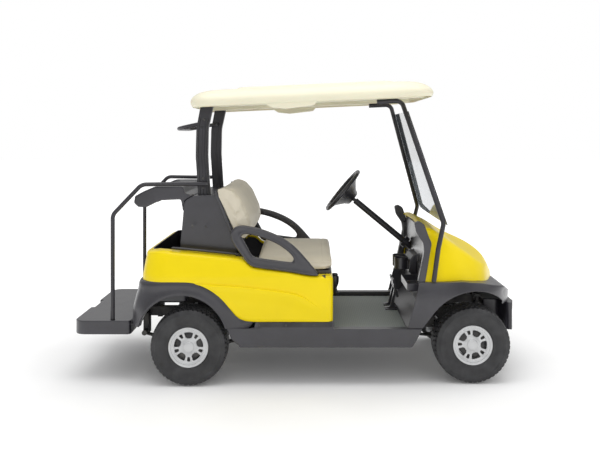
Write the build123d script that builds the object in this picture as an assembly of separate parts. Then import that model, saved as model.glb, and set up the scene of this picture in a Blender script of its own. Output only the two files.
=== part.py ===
"""Two-seat electric golf cart with canopy, folding windshield, bag rack and rear step.

Millimetres. X points forward and is measured from the rear axle while the pieces are
drawn, Y points to the left, Z points up from the ground. export() moves every piece so
that the middle of the whole cart's footprint is the origin.
"""
import os
from math import cos, radians, sin

from build123d import *

# ---------------------------------------------------------------- overall sizes
WHEELBASE = 1664.0
REAR_OVERHANG = 694.0          # rear axle to the back edge of the step
FRONT_OVERHANG = 306.0         # front axle to the front of the bumper
FRONT_TRACK = 880.0
REAR_TRACK = 978.0
TYRE_OD = 452.0
TYRE_WIDTH = 210.0
RIM_SEAT_R = 101.6             # 8 inch rim
RIM_FLANGE_R = 116.0
RIM_WIDTH = 178.0
BODY_HALF = 590.0              # widest half width of the body sides
FLOOR_Z = 306.0                # top of the floor mat
SEAT_BASE_Z = 640.0            # top of the seat pod under the seat pan
ROOF_EDGE_Z = 1655.0           # lower edge of the canopy at its middle
ROOF_HALF = 585.0
WALL = 4.0                     # moulded skins
SEAT_GAP = 0.3                 # between curved or soft neighbours
FACE_GAP = 5.0                 # between moving neighbours

LENGTH = REAR_OVERHANG + WHEELBASE + FRONT_OVERHANG
CENTRE_X = LENGTH / 2 - REAR_OVERHANG
AXLE_Z = TYRE_OD / 2
FRONT_X = WHEELBASE
NOSE_X = WHEELBASE + FRONT_OVERHANG
STEP_X = -REAR_OVERHANG


# ---------------------------------------------------------------- helpers
def export(node, *solids):
    """Write one node, moved so that the footprint's middle is the origin."""
    shape = solids[0] if len(solids) == 1 else Compound(children=list(solids))
    export_step(Pos(-CENTRE_X, 0, 0) * shape, f"parts/{node}.step")


def side_face(points, y, radius=0.0):
    """Closed outline of (x, z) points in the plane at this y."""
    outline = [(x, y, z) for x, z in points]
    if radius == 0.0:
        return make_face(Polyline(*outline, close=True))
    return make_face(FilletPolyline(*outline, radius=radius, close=True))


def side_prism(points, y0, y1, radius=0.0):
    """Outline of (x, z) points carried from y0 to y1."""
    return extrude(side_face(points, y0, radius), amount=y1 - y0, dir=(0, 1, 0))


def plan_face(z, x0, x1, half, r0, r1):
    """Rounded plan outline, r0 at the two rear corners and r1 at the two front ones."""
    corners = [(x0, -half, z), (x1, -half, z), (x1, half, z), (x0, half, z)]
    return make_face(FilletPolyline(*corners, radius=[r0, r1, r1, r0], close=True))


def plan_loft(sections, inset=0.0):
    """Loft of plan sections, rows of (z, x0, x1, half, r0, r1), all moved in by inset."""
    faces = []
    for z, x0, x1, half, r0, r1 in sections:
        faces.append(plan_face(z, x0 + inset, x1 - inset, half - inset, r0 - inset, r1 - inset))
    return loft(faces)


def box(x0, x1, y0, y1, z0, z1):
    """Box between two corners."""
    return Pos((x0 + x1) / 2, (y0 + y1) / 2, (z0 + z1) / 2) * Box(x1 - x0, y1 - y0, z1 - z0)


def rod(start, end, radius):
    """Round bar between two points."""
    a = Vector(*start)
    b = Vector(*end)
    return extrude(Plane(origin=a, z_dir=b - a) * Circle(radius), amount=(b - a).length)


def bent_tube(points, bend, outer, wall=0.0):
    """Round tube along straight runs with bends; solid when wall is 0."""
    path = FilletPolyline(*points, radius=bend)
    section = Plane(origin=path @ 0, z_dir=path % 0) * Circle(outer)
    if wall:
        section -= Plane(origin=path @ 0, z_dir=path % 0) * Circle(outer - wall)
    return sweep(section, path=path)


def turned(profile, x, y, z, radius=0.0):
    """Turn (r, offset along y) points round the Y axis through (x, z)."""
    outline = [(x + r, y + offset, z) for r, offset in profile]
    if radius == 0.0:
        wire = Polyline(*outline, close=True)
    else:
        wire = FilletPolyline(*outline, radius=radius, close=True)
    return revolve(make_face(wire), axis=Axis((x, y, z), (0, 1, 0)))


def both_sides(solid):
    """The solid and its mirror image in the middle plane."""
    return solid, mirror(solid, about=Plane.XZ)


# ---------------------------------------------------------------- wheels
TREAD_CROWN = 6.0
SIDEWALL_BULGE_R = 165.0
HUB_R = 32.0
HUB_DEPTH = 92.0
SPINDLE_R = 12.5
CAP_R = 34.0
DISC_IN = 26.0                 # wheel disc behind the outer rim edge
DISC_T = 7.0
SPOKES = 5
STUB_R = 14.0
WINDOW_R0 = 48.0
WINDOW_R1 = 84.0


def tyre(x, y):
    """Tubeless tyre, solid between bead, sidewalls and crowned tread."""
    tread_half = TYRE_WIDTH / 2 - 22
    half = TYRE_WIDTH / 2
    bead_half = RIM_WIDTH / 2 - WALL - SEAT_GAP
    bead_r = RIM_SEAT_R + SEAT_GAP
    profile = [
        (bead_r, -bead_half),
        (RIM_FLANGE_R + 2, -bead_half),
        (SIDEWALL_BULGE_R, -half),
        (AXLE_Z - 20, -half + 5),
        (AXLE_Z - TREAD_CROWN, -tread_half),
        (AXLE_Z, -tread_half / 3),
        (AXLE_Z, tread_half / 3),
        (AXLE_Z - TREAD_CROWN, tread_half),
        (AXLE_Z - 20, half - 5),
        (SIDEWALL_BULGE_R, half),
        (RIM_FLANGE_R + 2, bead_half),
        (bead_r, bead_half),
    ]
    return turned(profile, x, y, AXLE_Z, [2, 2, 22, 14, 14, 40, 40, 14, 14, 22, 2, 2])


def rim(x, y, side, turn, driven):
    """Pressed steel wheel with five window pairs; side is +1 left, -1 right."""
    half = RIM_WIDTH / 2
    seat = RIM_SEAT_R
    bore = STUB_R if driven else SPINDLE_R + SEAT_GAP
    barrel = [
        (RIM_FLANGE_R, -half),
        (RIM_FLANGE_R, -half + WALL),
        (seat, -half + WALL),
        (seat, -half + 34),
        (seat - 14, -half + 48),
        (seat - 14, half - 48),
        (seat, half - 34),
        (seat, half - WALL),
        (RIM_FLANGE_R, half - WALL),
        (RIM_FLANGE_R, half),
        (seat - WALL, half),
        (seat - WALL, half - 32),
        (seat - 14 - WALL, half - 46),
        (seat - 14 - WALL, -half + 46),
        (seat - WALL, -half + 32),
        (seat - WALL, -half),
    ]
    wheel = turned(barrel, x, y, AXLE_Z)
    face = y + side * (half - DISC_IN)
    disc_r = seat - WALL + 1
    disc = turned([(0, 0), (disc_r, 0), (disc_r, -side * DISC_T), (0, -side * DISC_T)], x, face, AXLE_Z)
    for i in range(SPOKES):
        angle = turn + i * 360 / SPOKES
        disc -= wheel_window(x, face, angle, WINDOW_R0, WINDOW_R1, 20.0)
        disc -= wheel_window(x, face, angle + 180 / SPOKES, WINDOW_R0 + 14, WINDOW_R1, 6.5)
    hub = turned([(0, 0), (HUB_R, 0), (HUB_R, -side * HUB_DEPTH), (0, -side * HUB_DEPTH)], x, face, AXLE_Z)
    cap = turned(
        [(0, 0), (CAP_R, 0), (CAP_R, side * 10), (CAP_R - 8, side * 18), (0, side * 18)], x, face, AXLE_Z
    )
    wheel = wheel + disc + hub + cap
    if driven:
        return wheel + rod((x, face, AXLE_Z), (x, y - side * STUB_REACH, AXLE_Z), bore)
    return wheel - rod((x, face - side * (HUB_DEPTH + 1), AXLE_Z), (x, face - side * 8, AXLE_Z), bore)


STUB_REACH = 150.0             # drive stub, inboard of the wheel's middle plane


def wheel_window(x, face, angle, r0, r1, half_angle):
    """Wedge between two radii, cut through the wheel disc."""
    points = []
    for r, a in [(r0, -half_angle), (r1, -half_angle), (r1, half_angle), (r0, half_angle)]:
        turn = radians(angle + a)
        points.append((x + r * cos(turn), AXLE_Z + r * sin(turn)))
    return side_prism(points, face - 30, face + 30, 3.0)


WHEELS = [
    # name, x, track, side, turn of the disc pattern, driven
    ("front_left", FRONT_X, FRONT_TRACK, 1, 20.0, False),
    ("front_right", FRONT_X, FRONT_TRACK, -1, 70.0, False),
    ("rear_left", 0.0, REAR_TRACK, 1, 50.0, True),
    ("rear_right", 0.0, REAR_TRACK, -1, 90.0, True),
]


def build_wheels():
    for name, x, track, side, turn, driven in WHEELS:
        export(f"tyre_{name}", tyre(x, side * track / 2))
        export(f"rim_{name}", rim(x, side * track / 2, side, turn, driven))


# ---------------------------------------------------------------- front axle and steering
KINGPIN_Y = 322.0
KINGPIN_R = 9.0
BARREL_R = 17.0
BARREL_HALF = 42.0
YOKE_T = 10.0
BEAM_HALF = 24.0
ARM = 110.0                    # steering arm, kingpin to tie-rod pin
PIN_R = 6.0
EYE_R = 13.0
TIE_Z = AXLE_Z - 62.0
KNUCKLE_LOW = AXLE_Z - BARREL_HALF
ARM_T = 10.0
TIE_R = 8.0
EYE_HALF = TIE_R + 1.5
ARM_Z = TIE_Z + EYE_HALF + 0.6  # underside of the arms, over the tie-rod eyes
SPINDLE_END = FRONT_TRACK / 2 + RIM_WIDTH / 2 - DISC_IN - 12
PITMAN_Y = 94.0
GEAR_Z0 = TIE_Z + 22.0        # underside of the steering gear
LUG = 60.0                     # tie-rod lug, rearward of the rod
DROP_SHAFT_R = 11.0
JOINT_R = 14.0                 # universal joint below the column


def build_front_axle():
    beam = box(FRONT_X - BEAM_HALF, FRONT_X + BEAM_HALF, -KINGPIN_Y + 40, KINGPIN_Y - 40,
               AXLE_Z - BEAM_HALF, AXLE_Z + BEAM_HALF)
    gap = BARREL_HALF + 1.0
    for side in (1, -1):
        back = side * (KINGPIN_Y - 40)
        low, high = sorted((back, side * (KINGPIN_Y - 28)))
        beam += box(FRONT_X - 28, FRONT_X + 28, low, high, AXLE_Z - gap - YOKE_T, AXLE_Z + gap + YOKE_T)
        low, high = sorted((back, side * (KINGPIN_Y + 16)))
        for z in (AXLE_Z - gap - YOKE_T, AXLE_Z + gap):
            plate = box(FRONT_X - 22, FRONT_X + 22, low, high, z, z + YOKE_T)
            beam += plate
        beam += rod((FRONT_X, side * KINGPIN_Y, AXLE_Z - gap - YOKE_T - 4),
                    (FRONT_X, side * KINGPIN_Y, AXLE_Z + gap + YOKE_T + 4), KINGPIN_R)
    export("front_axle", beam)


def knuckle(side):
    """Kingpin barrel, spindle and rearward steering arm with its tie-rod pin."""
    y = side * KINGPIN_Y
    body = rod((FRONT_X, y, AXLE_Z - BARREL_HALF), (FRONT_X, y, AXLE_Z + BARREL_HALF), BARREL_R)
    body += rod((FRONT_X, y, AXLE_Z), (FRONT_X, side * (KINGPIN_Y + 30), AXLE_Z), 20)
    body += rod((FRONT_X, y, AXLE_Z), (FRONT_X, side * SPINDLE_END, AXLE_Z), SPINDLE_R)
    crank = [(0, KNUCKLE_LOW + 16), (-50, KNUCKLE_LOW + 16), (-66, ARM_Z + ARM_T), (-ARM, ARM_Z + ARM_T),
             (-ARM, ARM_Z), (-62, ARM_Z), (-46, KNUCKLE_LOW + 4), (0, KNUCKLE_LOW + 4)]
    arm = side_prism([(FRONT_X + x, z) for x, z in crank], y - 8, y + 8)
    arm += rod((FRONT_X - ARM, y, ARM_Z), (FRONT_X - ARM, y, ARM_Z + ARM_T), EYE_R)
    arm += rod((FRONT_X - ARM, y, TIE_Z - EYE_HALF - 3), (FRONT_X - ARM, y, ARM_Z + 2), PIN_R)
    body += arm
    return body - rod((FRONT_X, y, AXLE_Z - 60), (FRONT_X, y, AXLE_Z + 60), KINGPIN_R + SEAT_GAP)


def build_steering_linkage():
    """Tie rod across the two arms, driven at its lug by the steering gear's drop arm."""
    export("knuckle_left", knuckle(1))
    export("knuckle_right", knuckle(-1))
    x = FRONT_X - ARM
    pins = [(x, KINGPIN_Y), (x, -KINGPIN_Y), (x - LUG, PITMAN_Y)]
    tie = rod((x, -KINGPIN_Y, TIE_Z), (x, KINGPIN_Y, TIE_Z), TIE_R)
    tie += box(x - LUG, x, PITMAN_Y - 9, PITMAN_Y + 9, TIE_Z - 5, TIE_Z + 5)
    for pin_x, y in pins:
        tie += rod((pin_x, y, TIE_Z - EYE_HALF), (pin_x, y, TIE_Z + EYE_HALF), EYE_R)
    for pin_x, y in pins:
        tie -= rod((pin_x, y, TIE_Z - 20), (pin_x, y, TIE_Z + 20), PIN_R + SEAT_GAP)
    export("tie_rod", tie)
    pin_x = x - LUG
    pivot_x = FRONT_X - LUG
    arm = box(pin_x, pivot_x, PITMAN_Y - 9, PITMAN_Y + 9, ARM_Z, ARM_Z + ARM_T)
    arm += rod((pin_x, PITMAN_Y, ARM_Z), (pin_x, PITMAN_Y, ARM_Z + ARM_T), EYE_R)
    arm += rod((pin_x, PITMAN_Y, TIE_Z - EYE_HALF - 3), (pin_x, PITMAN_Y, ARM_Z + 2), PIN_R)
    arm += rod((pivot_x, PITMAN_Y, ARM_Z), (pivot_x, PITMAN_Y, ARM_Z + ARM_T), 16)
    arm += rod((pivot_x, PITMAN_Y, ARM_Z + 2), (pivot_x, PITMAN_Y, GEAR_Z0 + 30), DROP_SHAFT_R)
    export("drop_arm", arm)
    gear = box(pivot_x - 34, FRONT_X - BEAM_HALF, PITMAN_Y - 42, PITMAN_Y + 42, GEAR_Z0, GEAR_Z0 + 84)
    gear -= rod((pivot_x, PITMAN_Y, GEAR_Z0 - 1), (pivot_x, PITMAN_Y, GEAR_Z0 + 32), DROP_SHAFT_R + SEAT_GAP)
    joint = along_column(COLUMN_END + JOINT_R + SEAT_GAP)
    gear += rod((pivot_x, PITMAN_Y, GEAR_Z0 + 70), joint, SHAFT_R)
    gear += Pos(joint) * Sphere(JOINT_R)
    export("steering_gear", gear)


# ---------------------------------------------------------------- steering column
WHEEL_CENTRE = Vector(933.0, 280.0, 1081.0)
COLUMN_DIR = Vector(0.77, 0.0, -0.638).normalized()
WHEEL_R = 178.0
GRIP_R = 14.0
COLUMN_R = 21.0
SHAFT_R = 10.0
HUB_LEN = 95.0
COLUMN_START = 112.0           # along the column from the wheel's plane
COLUMN_END = 610.0
BOOT_START = 540.0
BOOT_LEN = 30.0
BOOT_R = 38.0


def along_column(distance):
    return WHEEL_CENTRE + COLUMN_DIR * distance


def build_steering_wheel():
    plane = Plane(origin=WHEEL_CENTRE, z_dir=COLUMN_DIR, x_dir=(0, 1, 0))
    ring = plane * Torus(WHEEL_R - GRIP_R, GRIP_R)
    hub = extrude(plane.offset(-6) * Circle(52), amount=HUB_LEN, taper=17)
    wheel = ring + hub
    for angle in (0, 120, 240):
        lean = Rot(0, 0, angle)
        spoke = plane * lean * Pos(WHEEL_R / 2, 0, 14) * Rot(0, 4, 0) * Box(WHEEL_R - 46, 40, 10)
        wheel += spoke
    wheel += extrude(plane.offset(HUB_LEN - 20) * Circle(SHAFT_R), amount=120)
    export("steering_wheel", wheel)


def build_steering_column():
    plane = Plane(origin=along_column(COLUMN_START), z_dir=COLUMN_DIR, x_dir=(0, 1, 0))
    length = COLUMN_END - COLUMN_START
    column = extrude(plane * Circle(COLUMN_R), amount=length)
    column -= extrude(plane.offset(-1) * Circle(SHAFT_R + SEAT_GAP), amount=100)
    column += extrude(plane.offset(BOOT_START - COLUMN_START) * Circle(BOOT_R), amount=BOOT_LEN)
    export("steering_column", column)


# ---------------------------------------------------------------- rear axle, motor, springs
AXLE_TUBE_R = 30.0
MOTOR_Z = AXLE_Z + 2
SPRING_T = 7.0                 # one leaf
SPRING_HALF = 25.0             # half width of a leaf
SPRING_SAG = 0.6               # rise of the curved top leaf beside the beam's middle
FRONT_SPRING_Y = 190.0
REAR_SPRING_Y = 300.0
FRONT_EYE = 215.0              # front spring eyes, ahead of and behind the axle
REAR_EYE = 300.0


def build_rear_axle():
    end = REAR_TRACK / 2 + RIM_WIDTH / 2 - DISC_IN - HUB_DEPTH - FACE_GAP
    stub_in = REAR_TRACK / 2 - STUB_REACH - FACE_GAP
    axle = rod((0, -end, AXLE_Z), (0, end, AXLE_Z), AXLE_TUBE_R)
    axle += turned([(0, -95), (62, -95), (96, -50), (96, 50), (62, 95), (0, 95)], 0, -40, AXLE_Z, 0.0)
    for side in (1, -1):
        axle -= rod((0, side * (end + 1), AXLE_Z), (0, side * stub_in, AXLE_Z), STUB_R + SEAT_GAP)
    export("rear_axle", axle)
    motor = turned([(0, 0), (78, 0), (95, 14), (95, 200), (80, 216), (0, 216)], -135, 0, MOTOR_Z)
    motor += box(-110, -60, 0, 70, AXLE_Z - 40, AXLE_Z + 40)
    motor -= rod((0, -20, AXLE_Z), (0, 100, AXLE_Z), 96 + SEAT_GAP)
    export("motor", motor)


def leaf_spring(y, x_mid, z_mid, front_reach, rear_reach, rise, leaves):
    """Leaves under an axle, the longest on top with an eye at each end."""
    spring = []
    for i in range(leaves):
        share = 1 - i * 0.28
        top = z_mid - i * SPRING_T
        points = [
            (x_mid - rear_reach * share, top + rise * share * share),
            (x_mid, top),
            (x_mid + front_reach * share, top + rise * share * share),
        ]
        upper = ThreePointArc(*[(x, y, z) for x, z in points])
        lower = ThreePointArc(*[(x, y, z - SPRING_T + SEAT_GAP) for x, z in points])
        ends = [Line(upper @ 0, lower @ 0), Line(upper @ 1, lower @ 1)]
        leaf = extrude(make_face([upper, lower] + ends), amount=SPRING_HALF * 2, dir=(0, 1, 0))
        if i == 0:
            for x in (x_mid - rear_reach, x_mid + front_reach):
                leaf += rod((x, y, z_mid + rise), (x, y + 2 * SPRING_HALF, z_mid + rise), 16)
        spring.append(leaf)
    return spring


def build_springs():
    z_rear = AXLE_Z - AXLE_TUBE_R - SEAT_GAP
    z_front = AXLE_Z - BEAM_HALF - SEAT_GAP - SPRING_SAG
    springs = []
    for side in (1, -1):
        y = side * REAR_SPRING_Y - SPRING_HALF
        springs.extend(leaf_spring(y, 0.0, z_rear, 500.0, 308.0, 52.0, 3))
        y = side * FRONT_SPRING_Y - SPRING_HALF
        springs.extend(leaf_spring(y, FRONT_X, z_front, FRONT_EYE, REAR_EYE, 14.0, 3))
    export("suspension", *springs, *front_dampers())


# ---------------------------------------------------------------- frame
BUMPER_HALF = 180.0            # steel bar behind the front moulding
BUMPER_WIDE = 330.0            # moulded bumper, half width of its face
BUMPER_LOW = 268.0
BUMPER_TOP = 436.0
BUMPER_BACK = 1786.0
BUMPER_FACE = NOSE_X - 1
STRUT_X = 66.0                 # middle of the rear canopy struts at the shroud
STRUT_Y = 360.0
STRUT_HALF = 18.0
HANGER_T = 8.0                 # spring hanger plates on the rails
EYE_PLATE_T = 3.0              # plates outside the front spring eyes
PANEL_HALF = 512.0             # dash panel, inside the cowl's shoulders
SHOCK_Y = 246.0                # inside the steered wheels' sweep
SHOCK_TOP_X = 1746.0
SHOCK_TOP_Z = 462.0
SHOCK_EYE = 14.0
SHOCK_R = 23.0
HINGE_X = 386.0                # seat hinge axis
HINGE_Z = 650.0
HINGE_Y = 190.0
HINGE_PIN_R = 4.0
HINGE_EYE_R = 9.0
RAIL_Y = 190.0
RAIL_HALF = 22.0
BUMPER_NARROW = RAIL_Y + RAIL_HALF + SEAT_GAP + WALL  # bumper between the steered wheels
RAIL_H = 56.0
RAIL_LOW = 236.0
RAIL_HIGH = 330.0
OUTRIGGERS = [560.0, 870.0, 1270.0]


def build_frame():
    """Ladder frame that rises over both axles, with outriggers under the sills."""
    top = [(-330, RAIL_HIGH + RAIL_H), (180, RAIL_HIGH + RAIL_H), (330, RAIL_LOW + RAIL_H),
           (1330, RAIL_LOW + RAIL_H), (1480, RAIL_HIGH + RAIL_H), (1890, RAIL_HIGH + RAIL_H)]
    low = [(x + dx, z - RAIL_H) for (x, z), dx in zip(top, [0, -20, -20, 20, 20, 0])]
    frame = None
    for side in (1, -1):
        y = side * RAIL_Y - RAIL_HALF
        rail = side_prism(top + low[::-1], y, y + 2 * RAIL_HALF)
        frame = rail if frame is None else frame + rail
    cross = RAIL_Y
    for x in (-300.0, 180.0):
        frame += box(x - 20, x + 20, -cross, cross, RAIL_HIGH + 8, RAIL_HIGH + 48)
    for x in (1500.0, 1870.0):
        frame += box(x - 20, x + 20, -cross, cross, RAIL_HIGH + 8, RAIL_HIGH + 48)
    for x in OUTRIGGERS:
        frame += box(x - 18, x + 18, -SILL_IN, SILL_IN, RAIL_LOW + 8, RAIL_LOW + 44)
    frame += box(STRUT_X - 20, STRUT_X + 20, -STRUT_Y - STRUT_HALF, STRUT_Y + STRUT_HALF,
                 RAIL_HIGH + 8, RAIL_HIGH + RAIL_H)
    for side in (1, -1):
        low_y, high_y = sorted((side * RAIL_Y, side * (REAR_SPRING_Y - SPRING_HALF - SEAT_GAP)))
        frame += box(-324, -292, low_y, high_y, AXLE_Z + 4, RAIL_HIGH + 30)
        frame += box(485, 515, low_y, high_y, AXLE_Z + 4, AXLE_Z + 34)
        for x, top in ((FRONT_X + FRONT_EYE, RAIL_HIGH + RAIL_H), (FRONT_X - REAR_EYE, RAIL_LOW + RAIL_H)):
            inner = side * (RAIL_Y + RAIL_HALF - 1)
            seat = side * (FRONT_SPRING_Y + SPRING_HALF + SEAT_GAP)
            outer = seat + side * EYE_PLATE_T
            low_y, high_y = sorted((seat, outer))
            frame += box(x - 12, x + 12, low_y, high_y, AXLE_Z - 26, top)
            low_y, high_y = sorted((inner, outer))
            frame += box(x - 12, x + 12, low_y, high_y, top - RAIL_H + 10, top)
    frame += box(1888, BUMPER_FACE - WALL - SEAT_GAP, -BUMPER_HALF, BUMPER_HALF, RAIL_HIGH + 12, RAIL_HIGH + 44)
    for side in (1, -1):
        rail_face = side * (RAIL_Y + RAIL_HALF)
        low_y, high_y = sorted((rail_face - side, rail_face + side * HANGER_T))
        hanger = [(1372, 252), (1470, 262), (1492, 322), (1478, 352), (1384, 336)]
        frame += side_prism(hanger, low_y, high_y, 10)
        low_y, high_y = sorted((side * RAIL_Y, side * (SHOCK_Y + 24)))
        frame += box(SHOCK_TOP_X - 16, SHOCK_TOP_X + 16, low_y, high_y, SHOCK_TOP_Z, SHOCK_TOP_Z + 12)
        low_y, high_y = sorted((side * (RAIL_Y - 20), side * (RAIL_Y + 20)))
        frame += box(SHOCK_TOP_X - 16, SHOCK_TOP_X + 16, low_y, high_y, RAIL_HIGH + 40, SHOCK_TOP_Z + 12)
        low_y, high_y = sorted((side * (HINGE_Y - 14), side * (HINGE_Y + 14)))
        foot = RAIL_LOW + RAIL_H - 2
        post = [(HINGE_X - 68, foot), (HINGE_X - 43, foot), (HINGE_X - 43, HINGE_Z - 34), (HINGE_X + 4, HINGE_Z - 9),
                (HINGE_X + 4, HINGE_Z), (HINGE_X - 8, HINGE_Z), (HINGE_X - 68, HINGE_Z - 26)]
        frame += side_prism(post, low_y, high_y)
        frame += rod((HINGE_X, low_y, HINGE_Z), (HINGE_X, high_y, HINGE_Z), HINGE_EYE_R)
        frame -= rod((HINGE_X, low_y - 1, HINGE_Z), (HINGE_X, high_y + 1, HINGE_Z), HINGE_PIN_R + SEAT_GAP)
    export("chassis_frame", frame)


def front_dampers():
    """Coil-over dampers between the axle beam and the towers on the rails."""
    top = SHOCK_TOP_Z - SEAT_GAP
    shocks = []
    for side in (1, -1):
        foot = Vector(FRONT_X + BEAM_HALF + SHOCK_EYE + SEAT_GAP, side * SHOCK_Y, AXLE_Z + 4)
        head = Vector(SHOCK_TOP_X, side * SHOCK_Y, top)
        shock = rod(foot, head, 7)
        shock += rod(foot + (head - foot) * 0.22, foot + (head - foot) * 0.86, SHOCK_R)
        shock += rod((foot.X, foot.Y - 14, foot.Z), (foot.X, foot.Y + 14, foot.Z), SHOCK_EYE)
        shocks.append(shock - box(1600, 1900, -400, 400, top, top + 60))
    return shocks


# ---------------------------------------------------------------- floor, sills, step
SILL_TOP = 334.0
SILL_LOW = 226.0
SILL_IN = 520.0
SILL_OUT = 582.0
FLOOR_FRONT = 1290.0
MAT_T = 6.0
POD_FRONT = 842.0
COWL_Z = 604.0                 # joint between cowl and front fender
COWL_REAR = 1392.0
DASH_FRONT = COWL_REAR - SEAT_GAP
BODY_LOW_Z = 377.0             # lower edge of the body side under the seat


def build_floor():
    """Floor pan with its toe board, and the ribbed mat that lies in it."""
    z = FLOOR_Z - MAT_T
    back = DASH_FRONT + SEAT_GAP
    pan = [(345, z - 6), (345, z), (FLOOR_FRONT, z), (back, z + 92), (back, COWL_Z + 40),
           (back + 6, COWL_Z + 40), (back + 6, z + 90), (FLOOR_FRONT + 3, z - 6)]
    floor = side_prism(pan, -SILL_IN + SEAT_GAP, SILL_IN - SEAT_GAP)
    export("floor_pan", floor)
    mat = box(POD_FRONT + 12, FLOOR_FRONT - 6, -SILL_IN + 14, SILL_IN - 14, z, FLOOR_Z)
    export("floor_mat", mat)


def build_sills():
    """Moulded rocker panels along both sides of the floor."""
    profile = [(262, 300), (300, SILL_LOW), (1300, SILL_LOW), (1322, 258), (1362, SILL_TOP),
               (262, SILL_TOP)]
    sill = side_prism(profile, SILL_IN, SILL_OUT, [6, 10, 10, 20, 4, 8])
    sill -= box(310, 1290, SILL_IN + 24, SILL_OUT - 2 * WALL, SILL_LOW - 1, SILL_TOP - 2 * WALL)
    upstand = [(330, SILL_TOP - 2), (POD_FRONT, SILL_TOP - 2), (POD_FRONT, BODY_LOW_Z - SEAT_GAP),
               (390, BODY_LOW_Z - SEAT_GAP), (382, SILL_TOP + 8), (330, SILL_TOP + 4)]
    sill += side_prism(upstand, SILL_OUT - 30, SILL_OUT)
    export("sills", *both_sides(sill))


STEP_FRONT = -356.0
STEP_TOP = 361.0
STEP_LOW = 280.0
STEP_HALF = 488.0
DECK_T = 6.0
BAR_R = 12.5                   # grab bars, and where they stand in the step
BAR_X = -469.0
BAR_Y = 455.0


def build_step():
    """Rear step moulding on two bent arms that bolt to the frame."""
    deck = extrude(plan_face(STEP_LOW, STEP_X, STEP_FRONT, STEP_HALF, 70, 20), amount=STEP_TOP - STEP_LOW)
    hollow = plan_face(STEP_LOW - 1, STEP_X + 6, STEP_FRONT - 6, STEP_HALF - 6, 64, 14)
    deck -= extrude(hollow, amount=STEP_TOP - STEP_LOW + 1 - DECK_T)
    for side in (1, -1):
        deck -= box(STEP_FRONT - 10, STEP_FRONT + 1, side * RAIL_Y - 18, side * RAIL_Y + 18, 300, STEP_TOP - DECK_T)
    deck -= box(STEP_X - 1, STEP_X + 22, -110, 110, STEP_LOW - 2, STEP_TOP + 1)
    deck += box(STEP_X + 22, STEP_X + 28, -110, 110, STEP_LOW, STEP_TOP)
    for side in (1, -1):
        socket = (BAR_X, side * BAR_Y)
        deck += rod((*socket, STEP_LOW + 16), (*socket, STEP_TOP - 1), BAR_R + 8)
        deck -= rod((*socket, STEP_LOW + 22), (*socket, STEP_TOP + 1), BAR_R + SEAT_GAP)
    export("rear_step", deck)
    arms = []
    top = STEP_TOP - DECK_T - SEAT_GAP
    for side in (1, -1):
        y = side * RAIL_Y
        arms.append(box(STEP_X + 40, -330 - SEAT_GAP, y - 16, y + 16, top - 30, top))
    export("step_arms", *arms)


# ---------------------------------------------------------------- rear body
ARCH_X = -40.0
ARCH_Z = 265.0
ARCH_R = 264.0
REAR_BODY = [
    # z, x0, x1, half, r0, r1
    (300, -298, POD_FRONT, BODY_HALF - 12, 150, 40),
    (470, -296, POD_FRONT, BODY_HALF, 150, 40),
    (640, -288, POD_FRONT, BODY_HALF - 6, 150, 40),
    (800, -262, POD_FRONT, BODY_HALF - 30, 150, 40),
]
BODY_TOP = [(842, SEAT_BASE_Z), (700, SEAT_BASE_Z), (476, 671), (330, 704), (299, 742), (-205, 786), (-300, 760)]
BODY_LOW = [(-300, 607), (-60, 607), (41, 600), (135, 559), (220, 482), (290, 400), (378, BODY_LOW_Z), (842, BODY_LOW_Z)]
BAG_X0 = -232.0
BAG_X1 = -30.0
BAG_HALF = 455.0
BAY_X0 = 240.0
BAY_X1 = 806.0
BAY_HALF = 500.0


def build_rear_body():
    """Moulded body side, seat pod and tail in one skin, open for bags and batteries."""
    outline = BODY_TOP + BODY_LOW
    bends = [30, 30, 200, 20, 20, 60, 8, 8, 200, 150, 60, 60, 60, 100, 8]
    skin = plan_loft(REAR_BODY) & side_prism(outline, -700, 700, bends)
    void_top = [(x, z - WALL) for x, z in BODY_TOP]
    void = side_prism(void_top + [(-300, 200), (842, 200)], -700, 700)
    skin -= plan_loft(REAR_BODY, WALL) & void
    skin -= box(BAG_X0, BAG_X1, -BAG_HALF, BAG_HALF, 600, 900)
    skin -= box(BAY_X0, BAY_X1, -BAY_HALF, BAY_HALF, 500, 900)
    for side in (1, -1):
        skin -= box(STRUT_X - 39, STRUT_X + 39, side * STRUT_Y - STRUT_HALF - 1, side * STRUT_Y + STRUT_HALF + 1,
                    600, 900)
    export("rear_body", skin)


REAR_FENDER = [
    # z, x0, x1, half, r0, r1
    (280, -352, 420, BODY_HALF - 10, 130, 20),
    (440, -350, 420, BODY_HALF + 6, 140, 20),
    (607, -306, 420, BODY_HALF - 2, 150, 20),
]


def build_rear_fender():
    """Dark lower moulding: wheel arch flares joined by the valance behind."""
    low = [(x, z - SEAT_GAP) for x, z in BODY_LOW[:-1]]
    low[0] = (-360, low[0][1])
    outline = low + [(378, 339), (-360, 339)]
    bends = [0, 200, 150, 60, 60, 60, 0, 0, 0]
    skin = plan_loft(REAR_FENDER) - plan_loft(REAR_FENDER, WALL + 2)
    skin &= side_prism(outline, -700, 700, bends)
    cutter = rod((ARCH_X, -700, ARCH_Z), (ARCH_X, 700, ARCH_Z), ARCH_R)
    cutter &= box(-330, 400, -700, 700, 0, 700)
    lip = rod((ARCH_X, -700, ARCH_Z), (ARCH_X, 700, ARCH_Z), ARCH_R + 5) - cutter
    lip &= side_prism(outline, -700, 700, bends)
    band = plan_loft(REAR_FENDER) & (box(-330, 330, BODY_HALF - 60, 700, 339, 607)
                                     + box(-330, 330, -700, -BODY_HALF + 60, 339, 607))
    skin = skin + (lip & band)
    skin -= cutter
    for side in (1, -1):
        skin -= box(-380, -320, side * RAIL_Y - 18, side * RAIL_Y + 18, 330, STEP_TOP)
    skin -= side_prism([(320, 330), (385, 330), (385, SILL_TOP + 14), (320, SILL_TOP + 10)], -700, 700)
    export("rear_fender", skin)


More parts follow.
